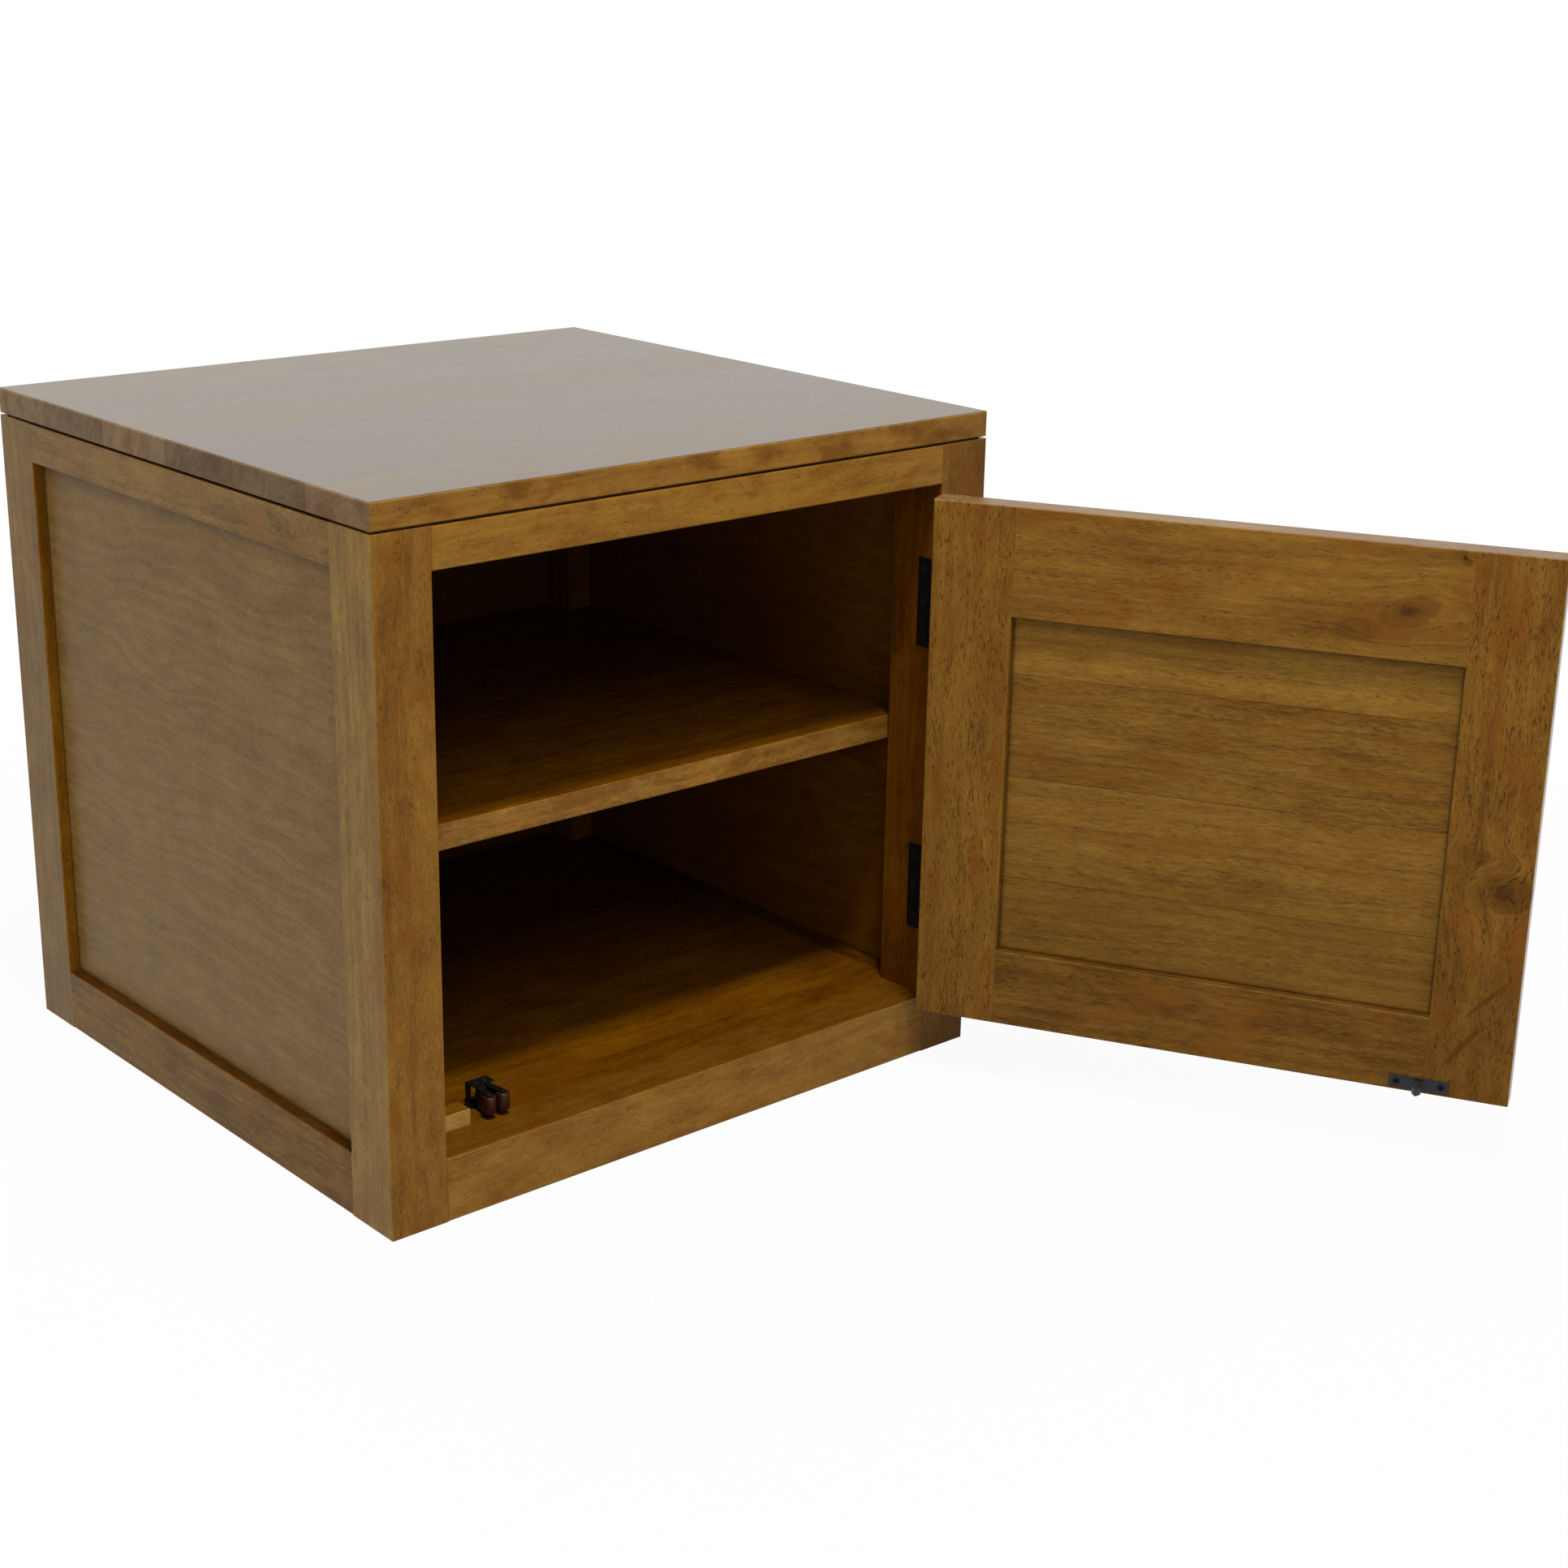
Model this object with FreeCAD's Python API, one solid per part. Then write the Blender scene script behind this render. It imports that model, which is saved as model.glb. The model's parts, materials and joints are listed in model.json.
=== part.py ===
"""Storage side table with one door: a frame-and-panel hardwood cabinet.

Units are millimetres and +Z is up.  The origin is on the floor, in the middle
of the front bottom rail's underside.  +X is to the right of someone who faces
the door, and +Y runs from the front of the cabinet to its back.  Every piece is
built where it sits, the door's pieces with the door shut, and the door is then
swung open to its rest angle about the hinge pins.
"""

import FreeCAD, Part
import math
import os

V = FreeCAD.Vector
UP = V(0, 0, 1)

# Cabinet outside
WIDTH = 510.0
DEPTH = 481.0
HEIGHT = 478.0

# Posts and rails
POST_WIDTH = 42.5
POST_DEPTH = 46.0
RAIL_THICK = 35.0
TOP_RAIL_HEIGHT = 27.5
BOTTOM_RAIL_HEIGHT = 45.0
TENON_THICK = 12.0
TENON_LENGTH = 18.0
TENON_SHOULDER = 5.0
MORTISE_END = 0.5
ARRIS = 1.0

# Top slab, with a rebate round its underside that reads as a dark line
SLAB_THICK = 18.0
SLAB_ARRIS = 1.5
SHADOW_HEIGHT = 1.5
SHADOW_DEPTH = 4.0

# Side and back panels, held in grooves of the frame
PANEL_THICK = 12.0
PANEL_RECESS = 8.0
GROOVE_DEPTH = 8.0
GROOVE_MARGIN = 1.0
PANEL_PLAY = 0.6

# Floor board, shelf and the cleats that carry them
BOARD_PLAY = 0.5
FLOOR_THICK = 15.0
SHELF_THICK = 18.0
SHELF_TOP = 251.0
SHELF_SETBACK = 3.0
FLOOR_CLEAT = 15.0
SHELF_CLEAT_WIDTH = 18.0
SHELF_CLEAT_HEIGHT = 26.0
TOP_CLEAT = 20.0
CLEAT_PLAY = 1.5

# Door, a frame of two stiles and two rails round a thin panel
DOOR_THICK = 21.0
DOOR_SETBACK = 5.0
DOOR_TOP_GAP = 3.5
DOOR_BOTTOM_GAP = 2.8
DOOR_FREE_GAP = 1.6
HINGE_STILE = 58.5
FREE_STILE = 57.5
DOOR_TOP_RAIL = 77.5
DOOR_BOTTOM_RAIL = 56.0
DOOR_PANEL_THICK = 8.0
DOOR_TENON_LENGTH = 25.0
DOOR_OPEN = 117.8

# Butt hinges
LEAF_THICK = 0.8
LEAF_GAP = 0.2
LEAF_LENGTH = 65.0
LEAF_REACH = 24.7
KNUCKLES = 3
KNUCKLE_RADIUS = 2.9
KNUCKLE_PROUD = 2.3
KNUCKLE_GAP = 0.3
PIN_RADIUS = 1.5
PIN_CLEAR = 0.05
HINGE_FROM_TOP = 84.0
HINGE_FROM_BOTTOM = 80.7
HINGE_SCREW_END = 9.0
HINGE_SCREW_EDGE = 6.1

# Screws
SCREW_CLEAR = 0.05
WOOD_SCREW = (4.0, 2.0)
CLEAT_SCREW_END = 70.0
FLOOR_SCREW_LENGTH = 32.0
SHELF_SCREW_LENGTH = 25.0
TOP_SCREW_LENGTH = 30.0
HINGE_SCREW = (3.1, 1.6)
HINGE_SCREW_LENGTH = 15.0
SMALL_SCREW = (2.8, 1.4)
SMALL_SCREW_LENGTH = 12.0
SCREW_SIDES = 8
CROSS_LENGTH = 3.2
CROSS_WIDTH = 0.6
CROSS_DEPTH = 1.2

# Strike plate and its tongue, on the inner face of the door
STRIKE_WIDTH = 40.0
STRIKE_HEIGHT = 8.5
STRIKE_THICK = 1.2
STRIKE_FROM_EDGE = 59.9
STRIKE_SCREW_SPACING = 30.0
TONGUE_NECK = 1.2
TONGUE_HEIGHT = 5.0
TONGUE_HEAD = 6.0
TONGUE_NECK_LENGTH = 10.0
TONGUE_SHOULDER = 12.3
TONGUE_LENGTH = 16.0
TONGUE_WINDOW = 1.6

# Double roller catch on the floor board
CATCH_PLATE = 2.0
CATCH_PLATE_WIDTH = 9.0
CATCH_PLATE_FRONT = 3.0
CATCH_PLATE_LENGTH = 28.0
CATCH_SCREW_END = 4.0
CATCH_WIDTH = 17.0
CATCH_WALL = 0.8
CATCH_ROOF = 1.0
HOUSING_BEHIND_ROLLER = 14.2
HOUSING_DEPTH = 9.5
HOUSING_MOUTH = 4.0
PIVOT_HALF_SPACING = 3.1
PIVOT_BEHIND_ROLLER = 18.0
CATCH_PIN_RADIUS = 1.0
PIN_PROUD = 0.4
ROLLER_HALF_SPACING = 5.4
ROLLER_RADIUS = 4.5
ROLLER_HEIGHT = 12.0
ROLLER_FROM_DOOR = 6.3
ARM_HALF_WIDTH = 2.3
ARM_SHEET = 0.8
ARM_SIDE_CLEAR = 0.6
ROLLER_SIDE_CLEAR = 0.3
SPRING_WIRE = 0.25
SPRING_LEG = 4.5
SPRING_TURNS = 1
SPRING_CLEAR = 0.15

# Block on the floor board that stops an over-shut door
STOP_WIDTH = 40.5
STOP_DEPTH = 14.0
STOP_HEIGHT = 11.3
STOP_CLEAR = 6.2

# Planes that several pieces share
FRONT = -RAIL_THICK / 2
BACK = FRONT + DEPTH
MID_Y = (FRONT + BACK) / 2
HALF_WIDTH = WIDTH / 2
OPENING = HALF_WIDTH - POST_WIDTH
POST_BACK = FRONT + POST_DEPTH
REAR_POST_FRONT = BACK - POST_DEPTH
SLAB_BOTTOM = HEIGHT - SLAB_THICK
FRAME_TOP = SLAB_BOTTOM - SHADOW_HEIGHT
TOP_RAIL_Z = FRAME_TOP - TOP_RAIL_HEIGHT
FLOOR_TOP = BOTTOM_RAIL_HEIGHT
SIDE_RAIL_IN = HALF_WIDTH - RAIL_THICK
SIDE_PANEL_OUT = HALF_WIDTH - PANEL_RECESS
SIDE_PANEL_IN = SIDE_PANEL_OUT - PANEL_THICK
BACK_PANEL_OUT = BACK - PANEL_RECESS
BACK_PANEL_IN = BACK_PANEL_OUT - PANEL_THICK

# The tenons keep clear of the panel grooves that run along the same rails
BOTTOM_TENON = (TENON_SHOULDER, FLOOR_TOP - GROOVE_DEPTH - GROOVE_MARGIN)
TOP_TENON = (TOP_RAIL_Z + GROOVE_DEPTH + GROOVE_MARGIN, FRAME_TOP - TENON_SHOULDER)

# Door planes with the door shut, and the hinge axis in front of the posts
HINGE_GAP = 2 * LEAF_THICK + LEAF_GAP
DOOR_HINGE_X = OPENING - HINGE_GAP
DOOR_FREE_X = DOOR_FREE_GAP - OPENING
DOOR_FRONT = FRONT + DOOR_SETBACK
DOOR_IN = DOOR_FRONT + DOOR_THICK
DOOR_MID = (DOOR_FRONT + DOOR_IN) / 2
DOOR_BOTTOM = FLOOR_TOP + DOOR_BOTTOM_GAP
DOOR_TOP = TOP_RAIL_Z - DOOR_TOP_GAP
AXIS = V(OPENING - HINGE_GAP / 2, FRONT - KNUCKLE_PROUD - KNUCKLE_RADIUS, 0)
HINGE_HEIGHTS = (DOOR_BOTTOM + HINGE_FROM_BOTTOM, DOOR_TOP - HINGE_FROM_TOP)

# Catch planes: the rollers set the height and depth of all the rest
CATCH_X = DOOR_FREE_X + STRIKE_FROM_EDGE
ROLLER_Y = DOOR_IN + ROLLER_FROM_DOOR
PIVOT_Y = ROLLER_Y + PIVOT_BEHIND_ROLLER
ARM_BOTTOM = FLOOR_TOP + CATCH_PLATE + ARM_SIDE_CLEAR
ROLLER_BOTTOM = ARM_BOTTOM + ARM_SHEET + ROLLER_SIDE_CLEAR
ROLLER_TOP = ROLLER_BOTTOM + ROLLER_HEIGHT
ARM_TOP = ROLLER_TOP + ROLLER_SIDE_CLEAR + ARM_SHEET
ROOF_BOTTOM = ARM_TOP + ARM_SIDE_CLEAR
CATCH_MID = (ROLLER_BOTTOM + ROLLER_TOP) / 2


def box(x0, x1, y0, y1, z0, z1):
    """A block between two corners."""
    return Part.makeBox(x1 - x0, y1 - y0, z1 - z0, V(x0, y0, z0))


def to_left(shape):
    """The mirror image on the cabinet's left side."""
    return shape.mirror(V(0, 0, 0), V(1, 0, 0))


def to_rear(shape):
    """The mirror image at the cabinet's back."""
    return shape.mirror(V(0, MID_Y, 0), V(0, 1, 0))


def eased(shape, start, end, u, v, radius):
    """Round the edge from start to end; u and v lie along its two faces, into the wood."""
    out = 0.5 * radius
    a = start + u * radius
    b = start + v * radius
    centre = a + v * radius
    middle = centre - (u + v).normalize() * radius
    corner = start - u * out - v * out
    sides = [
        Part.Arc(a, middle, b).toShape(),
        Part.makeLine(b, b - u * out),
        Part.makeLine(b - u * out, corner),
        Part.makeLine(corner, a - v * out),
        Part.makeLine(a - v * out, a),
    ]
    strip = Part.Face(Part.Wire(sides)).extrude(end - start)
    return shape.cut(strip)


def prism(radius, z):
    """The outline of a round rod at one height, as a regular polygon."""
    corners = []
    for index in range(SCREW_SIDES + 1):
        angle = 2 * math.pi * index / SCREW_SIDES
        corners.append(V(radius * math.cos(angle), radius * math.sin(angle), z))
    return Part.makePolygon(corners)


def screw(size, length, head, direction, grow=0.0, cross=False):
    """A countersunk screw whose head is flush at the point head; grow makes the hole for it."""
    head_radius = size[0] + grow
    shank = size[1] + grow
    sink = head_radius - shank
    end = length + grow
    rings = [
        prism(head_radius, 0),
        prism(shank, -sink),
        prism(shank, -end),
    ]
    body = Part.makeLoft(rings, True, True)
    if cross:
        half = CROSS_LENGTH / 2
        bar = box(-half, half, -CROSS_WIDTH / 2, CROSS_WIDTH / 2, -CROSS_DEPTH, 0)
        other = box(-CROSS_WIDTH / 2, CROSS_WIDTH / 2, -half, half, -CROSS_DEPTH, 0)
        body = body.cut(bar.fuse(other))
    body.Placement = FreeCAD.Placement(head, FreeCAD.Rotation(-UP, direction))
    return body


class Screws:
    """One kind of screw in several places, with the holes that the pieces get."""

    def __init__(self, size, cross=False):
        self.size = size
        self.cross = cross
        self.places = []

    def add(self, head, direction, length):
        self.places.append((head, direction, length))

    def drill(self, shape):
        """The piece with a hole for every screw that passes through it."""
        for head, direction, length in self.places:
            hole = screw(self.size, length, head, direction, SCREW_CLEAR)
            if hole.BoundBox.intersect(shape.BoundBox):
                shape = shape.cut(hole)
        return shape

    def solids(self):
        made = []
        for head, direction, length in self.places:
            made.append(screw(self.size, length, head, direction, cross=self.cross))
        return Part.makeCompound(made)


nodes = {}

# ---------------------------------------------------------------- screws
cleat_ys = (POST_BACK + CLEAT_SCREW_END, REAR_POST_FRONT - CLEAT_SCREW_END)
floor_screws = Screws(WOOD_SCREW)
shelf_screws = Screws(WOOD_SCREW)
top_screws = Screws(WOOD_SCREW)
for side in (-1, 1):
    outward = V(side, 0, 0)
    floor_cleat_x = side * (SIDE_RAIL_IN - FLOOR_CLEAT)
    shelf_cleat_x = side * (SIDE_PANEL_IN - SHELF_CLEAT_WIDTH)
    top_cleat_x = side * (SIDE_RAIL_IN - TOP_CLEAT)
    floor_cleat_z = FLOOR_TOP - FLOOR_THICK - FLOOR_CLEAT / 2
    shelf_cleat_z = SHELF_TOP - SHELF_THICK - SHELF_CLEAT_HEIGHT / 2
    for y in cleat_ys:
        floor_screws.add(V(floor_cleat_x, y, floor_cleat_z), outward, FLOOR_SCREW_LENGTH)
        shelf_screws.add(V(shelf_cleat_x, y, shelf_cleat_z), outward, SHELF_SCREW_LENGTH)
        top_screws.add(V(top_cleat_x, y, FRAME_TOP - TOP_CLEAT / 2), outward, TOP_SCREW_LENGTH)
    top_cleat_middle = side * (SIDE_RAIL_IN - TOP_CLEAT / 2)
    top_screws.add(V(top_cleat_middle, MID_Y, FRAME_TOP - TOP_CLEAT), UP, TOP_SCREW_LENGTH)

# Hinge screws: a leaf's three screws stand in one row, clear of the door's corner
hinge_post_screws = Screws(HINGE_SCREW, cross=True)
hinge_door_screws = Screws(HINGE_SCREW, cross=True)
leaf_back = AXIS.y + LEAF_REACH
for height in HINGE_HEIGHTS:
    row = LEAF_LENGTH / 2 - HINGE_SCREW_END
    for z in (height - row, height, height + row):
        y = leaf_back - HINGE_SCREW_EDGE
        hinge_post_screws.add(V(OPENING - LEAF_THICK, y, z), V(1, 0, 0), HINGE_SCREW_LENGTH)
        hinge_door_screws.add(V(DOOR_HINGE_X + LEAF_THICK, y, z), V(-1, 0, 0), HINGE_SCREW_LENGTH)

# Strike screws go into the door's bottom rail, catch screws into the floor board
strike_screws = Screws(SMALL_SCREW, cross=True)
for side in (-1, 1):
    x = CATCH_X + side * STRIKE_SCREW_SPACING / 2
    strike_screws.add(V(x, DOOR_IN + STRIKE_THICK, CATCH_MID), V(0, -1, 0), SMALL_SCREW_LENGTH)
catch_screws = Screws(SMALL_SCREW, cross=True)
plate_front = ROLLER_Y + CATCH_PLATE_FRONT
plate_back = plate_front + CATCH_PLATE_LENGTH
for y in (plate_front + CATCH_SCREW_END, plate_back - CATCH_SCREW_END):
    catch_screws.add(V(CATCH_X, y, FLOOR_TOP + CATCH_PLATE), -UP, SMALL_SCREW_LENGTH)

# ------------------------------------------------------------- the frame
side_groove = box(
    SIDE_PANEL_IN,
    SIDE_PANEL_OUT,
    POST_BACK - GROOVE_DEPTH,
    REAR_POST_FRONT + GROOVE_DEPTH,
    FLOOR_TOP - GROOVE_DEPTH,
    TOP_RAIL_Z + GROOVE_DEPTH,
)
back_groove = box(
    -OPENING - GROOVE_DEPTH,
    OPENING + GROOVE_DEPTH,
    BACK_PANEL_IN,
    BACK_PANEL_OUT,
    FLOOR_TOP - GROOVE_DEPTH,
    TOP_RAIL_Z + GROOVE_DEPTH,
)


def cross_tenon(span, extra=0.0):
    """The right tenon of a front rail; extra deepens its mortise."""
    half = TENON_THICK / 2
    return box(OPENING, OPENING + TENON_LENGTH + extra, -half, half, span[0], span[1])


def side_tenon(span, extra=0.0):
    """The front tenon of a right side rail; extra deepens its mortise."""
    middle = HALF_WIDTH - RAIL_THICK / 2
    half = TENON_THICK / 2
    return box(
        middle - half, middle + half, POST_BACK - TENON_LENGTH - extra, POST_BACK, span[0], span[1]
    )


def front_right_post():
    """A post with its mortises, its arrises eased where they show between the rails."""
    post = box(OPENING, HALF_WIDTH, FRONT, POST_BACK, 0, FRAME_TOP)
    for span in (BOTTOM_TENON, TOP_TENON):
        post = post.cut(cross_tenon(span, MORTISE_END)).cut(side_tenon(span, MORTISE_END))
    back, left, right = V(0, 1, 0), V(-1, 0, 0), V(1, 0, 0)
    post = eased(post, V(HALF_WIDTH, FRONT, 0), V(HALF_WIDTH, FRONT, FRAME_TOP), left, back, ARRIS)
    low, high = FLOOR_TOP, TOP_RAIL_Z
    post = eased(post, V(OPENING, FRONT, low), V(OPENING, FRONT, high), right, back, ARRIS)
    return eased(
        post, V(HALF_WIDTH, POST_BACK, low), V(HALF_WIDTH, POST_BACK, high), left, -back, ARRIS
    )


def front_rail(low, high, span):
    """A rail across the front with a tenon at each end."""
    rail = box(-OPENING, OPENING, FRONT, FRONT + RAIL_THICK, low, high)
    for z, into in ((low, UP), (high, -UP)):
        rail = eased(rail, V(-OPENING, FRONT, z), V(OPENING, FRONT, z), into, V(0, 1, 0), ARRIS)
    tenon = cross_tenon(span)
    return rail.fuse([tenon, to_left(tenon)])


def side_rail(low, high, span):
    """A rail along the right side with a tenon at each end."""
    rail = box(SIDE_RAIL_IN, HALF_WIDTH, POST_BACK, REAR_POST_FRONT, low, high)
    for z, into in ((low, UP), (high, -UP)):
        start = V(HALF_WIDTH, POST_BACK, z)
        end = V(HALF_WIDTH, REAR_POST_FRONT, z)
        rail = eased(rail, start, end, into, V(-1, 0, 0), ARRIS)
    tenon = side_tenon(span)
    return rail.fuse([tenon, to_rear(tenon)]).cut(side_groove)


post = front_right_post()
nodes["front_right_post"] = hinge_post_screws.drill(post.cut(side_groove))
nodes["front_left_post"] = to_left(post.cut(side_groove))
rear_post = to_rear(post).cut(side_groove).cut(back_groove)
nodes["rear_right_post"] = rear_post
nodes["rear_left_post"] = to_left(rear_post)

rails = (("top", TOP_RAIL_Z, FRAME_TOP, TOP_TENON), ("bottom", 0, FLOOR_TOP, BOTTOM_TENON))
for name, low, high, span in rails:
    across = front_rail(low, high, span)
    nodes["front_" + name + "_rail"] = across
    nodes["rear_" + name + "_rail"] = to_rear(across).cut(back_groove)
    along = side_rail(low, high, span)
    screws = top_screws if name == "top" else floor_screws
    nodes["right_" + name + "_rail"] = screws.drill(along)
    nodes["left_" + name + "_rail"] = screws.drill(to_left(along))

# The slab rests on the frame by the part inside its rebate
slab = box(-HALF_WIDTH, HALF_WIDTH, FRONT, BACK, SLAB_BOTTOM, HEIGHT)
corners = [
    V(-HALF_WIDTH, FRONT, 0),
    V(HALF_WIDTH, FRONT, 0),
    V(HALF_WIDTH, BACK, 0),
    V(-HALF_WIDTH, BACK, 0),
]
for index, corner in enumerate(corners):
    after = corners[(index + 1) % 4]
    before = corners[index - 1]
    along = (after - corner).normalize()
    inward = (before - corner).normalize()
    slab = eased(slab, corner + UP * SLAB_BOTTOM, corner + UP * HEIGHT, along, inward, SLAB_ARRIS)
    slab = eased(slab, corner + UP * HEIGHT, after + UP * HEIGHT, inward, -UP, SLAB_ARRIS)
    slab = eased(slab, corner + UP * SLAB_BOTTOM, after + UP * SLAB_BOTTOM, inward, UP, ARRIS)
seat = box(
    SHADOW_DEPTH - HALF_WIDTH,
    HALF_WIDTH - SHADOW_DEPTH,
    FRONT + SHADOW_DEPTH,
    BACK - SHADOW_DEPTH,
    FRAME_TOP,
    SLAB_BOTTOM,
)
nodes["top_slab"] = top_screws.drill(slab.fuse(seat))

# Panels float in their grooves with a little play all round
reach = GROOVE_DEPTH - PANEL_PLAY
panel = box(
    SIDE_PANEL_IN,
    SIDE_PANEL_OUT,
    POST_BACK - reach,
    REAR_POST_FRONT + reach,
    FLOOR_TOP - reach,
    TOP_RAIL_Z + reach,
)
nodes["right_panel"] = shelf_screws.drill(panel)
nodes["left_panel"] = shelf_screws.drill(to_left(panel))
nodes["back_panel"] = box(
    -OPENING - reach, OPENING + reach, BACK_PANEL_IN, BACK_PANEL_OUT, FLOOR_TOP - reach, TOP_RAIL_Z + reach
)


# ------------------------------------------------------- floor and shelf
def notched(board, corner_ys):
    """A board cut back round the posts that stand in its corners."""
    for y0, y1 in corner_ys:
        for side in (-1, 1):
            x0, x1 = sorted((side * (OPENING - BOARD_PLAY), side * HALF_WIDTH))
            bottom = board.BoundBox.ZMin
            board = board.cut(box(x0, x1, y0, y1, bottom, board.BoundBox.ZMax))
    return board


front_corner = (FRONT, POST_BACK + BOARD_PLAY)
rear_corner = (REAR_POST_FRONT - BOARD_PLAY, BACK)
floor_board = box(
    BOARD_PLAY - SIDE_RAIL_IN,
    SIDE_RAIL_IN - BOARD_PLAY,
    FRONT + RAIL_THICK + BOARD_PLAY,
    BACK - RAIL_THICK - BOARD_PLAY,
    FLOOR_TOP - FLOOR_THICK,
    FLOOR_TOP,
)
nodes["bottom_board"] = catch_screws.drill(notched(floor_board, (front_corner, rear_corner)))

shelf_front = POST_BACK + SHELF_SETBACK
shelf_half = SIDE_PANEL_IN - BOARD_PLAY
shelf_bottom = SHELF_TOP - SHELF_THICK
shelf = box(-shelf_half, shelf_half, shelf_front, BACK_PANEL_IN - BOARD_PLAY, shelf_bottom, SHELF_TOP)
for z, into in ((shelf_bottom, UP), (SHELF_TOP, -UP)):
    shelf = eased(
        shelf, V(-shelf_half, shelf_front, z), V(shelf_half, shelf_front, z), into, V(0, 1, 0), ARRIS
    )
nodes["shelf"] = notched(shelf, (rear_corner,))

cleat_back = REAR_POST_FRONT - CLEAT_PLAY
cleats = {
    "bottom_cleat": (
        box(
            SIDE_RAIL_IN - FLOOR_CLEAT,
            SIDE_RAIL_IN,
            POST_BACK + CLEAT_PLAY,
            cleat_back,
            FLOOR_TOP - FLOOR_THICK - FLOOR_CLEAT,
            FLOOR_TOP - FLOOR_THICK,
        ),
        floor_screws,
    ),
    "shelf_cleat": (
        box(
            SIDE_PANEL_IN - SHELF_CLEAT_WIDTH,
            SIDE_PANEL_IN,
            shelf_front,
            cleat_back,
            shelf_bottom - SHELF_CLEAT_HEIGHT,
            shelf_bottom,
        ),
        shelf_screws,
    ),
    "top_cleat": (
        box(
            SIDE_RAIL_IN - TOP_CLEAT,
            SIDE_RAIL_IN,
            POST_BACK + CLEAT_PLAY,
            cleat_back,
            FRAME_TOP - TOP_CLEAT,
            FRAME_TOP,
        ),
        top_screws,
    ),
}
for name, (cleat, screws) in cleats.items():
    nodes["right_" + name] = screws.drill(cleat)
    nodes["left_" + name] = screws.drill(to_left(cleat))
nodes["bottom_cleat_screws"] = floor_screws.solids()
nodes["shelf_cleat_screws"] = shelf_screws.solids()
nodes["top_fixing_screws"] = top_screws.solids()

stop_front = DOOR_IN + STOP_CLEAR
nodes["door_stop_block"] = box(
    -OPENING, STOP_WIDTH - OPENING, stop_front, stop_front + STOP_DEPTH, FLOOR_TOP, FLOOR_TOP + STOP_HEIGHT
)

# ----------------------------------------------------------- the hinges
LEAF_OFFSET = LEAF_GAP / 2


def knuckle_span(index):
    """Where one knuckle starts and ends, measured from the hinge's middle."""
    pitch = LEAF_LENGTH / KNUCKLES
    start = index * pitch - LEAF_LENGTH / 2
    return start + KNUCKLE_GAP / 2, start + pitch - KNUCKLE_GAP / 2


def leaf(height, own):
    """A leaf on the post's side of the axis, with the knuckles whose indices are in own."""
    bore = PIN_RADIUS + PIN_CLEAR
    inner = AXIS.x + LEAF_OFFSET
    outer = inner + LEAF_THICK
    clear = KNUCKLE_RADIUS + KNUCKLE_PROUD
    half = LEAF_LENGTH / 2
    plate = box(inner, outer, AXIS.y + clear, leaf_back, height - half, height + half)
    middle = (bore + KNUCKLE_RADIUS) / 2
    for index in own:
        low, high = knuckle_span(index)
        foot = V(AXIS.x, AXIS.y, height + low)
        barrel = Part.makeCylinder(KNUCKLE_RADIUS, high - low, foot)
        tab = box(inner, outer, AXIS.y + middle, AXIS.y + clear, height + low, height + high)
        plate = plate.fuse([barrel, tab]).cut(Part.makeCylinder(bore, high - low, foot))
    return plate.removeSplitter()


for name, height in zip(("lower", "upper"), HINGE_HEIGHTS):
    post_leaf = leaf(height, range(0, KNUCKLES, 2))
    door_leaf = leaf(height, range(1, KNUCKLES, 2)).mirror(AXIS, V(1, 0, 0))
    nodes[name + "_hinge_post_leaf"] = hinge_post_screws.drill(post_leaf)
    nodes[name + "_hinge_door_leaf"] = hinge_door_screws.drill(door_leaf)
    foot = V(AXIS.x, AXIS.y, height - LEAF_LENGTH / 2)
    nodes[name + "_hinge_pin"] = Part.makeCylinder(PIN_RADIUS, LEAF_LENGTH, foot)
nodes["hinge_post_screws"] = hinge_post_screws.solids()
nodes["hinge_door_screws"] = hinge_door_screws.solids()

# -------------------------------------------------------------- the door
recess_left = DOOR_FREE_X + FREE_STILE
recess_right = DOOR_HINGE_X - HINGE_STILE
recess_low = DOOR_BOTTOM + DOOR_BOTTOM_RAIL
recess_high = DOOR_TOP - DOOR_TOP_RAIL
panel_front = DOOR_MID - DOOR_PANEL_THICK / 2
panel_back = DOOR_MID + DOOR_PANEL_THICK / 2
door_groove = box(
    recess_left - GROOVE_DEPTH,
    recess_right + GROOVE_DEPTH,
    panel_front,
    panel_back,
    recess_low - GROOVE_DEPTH,
    recess_high + GROOVE_DEPTH,
)
door_spans = {
    "top": (recess_high + GROOVE_DEPTH + GROOVE_MARGIN, DOOR_TOP - TENON_SHOULDER),
    "bottom": (DOOR_BOTTOM + TENON_SHOULDER, recess_low - GROOVE_DEPTH - GROOVE_MARGIN),
}


def door_tenons(span, extra=0.0):
    """The tenons at both ends of a door rail, as one block across the recess."""
    end = DOOR_TENON_LENGTH + extra
    return box(recess_left - end, recess_right + end, panel_front, panel_back, span[0], span[1])


def door_eased(shape, start, end, into):
    """Ease an edge of the door on its front and its inner face."""
    for y, inward in ((DOOR_FRONT, V(0, 1, 0)), (DOOR_IN, V(0, -1, 0))):
        lift = V(0, y, 0)
        shape = eased(shape, start + lift, end + lift, into, inward, ARRIS)
    return shape


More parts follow.
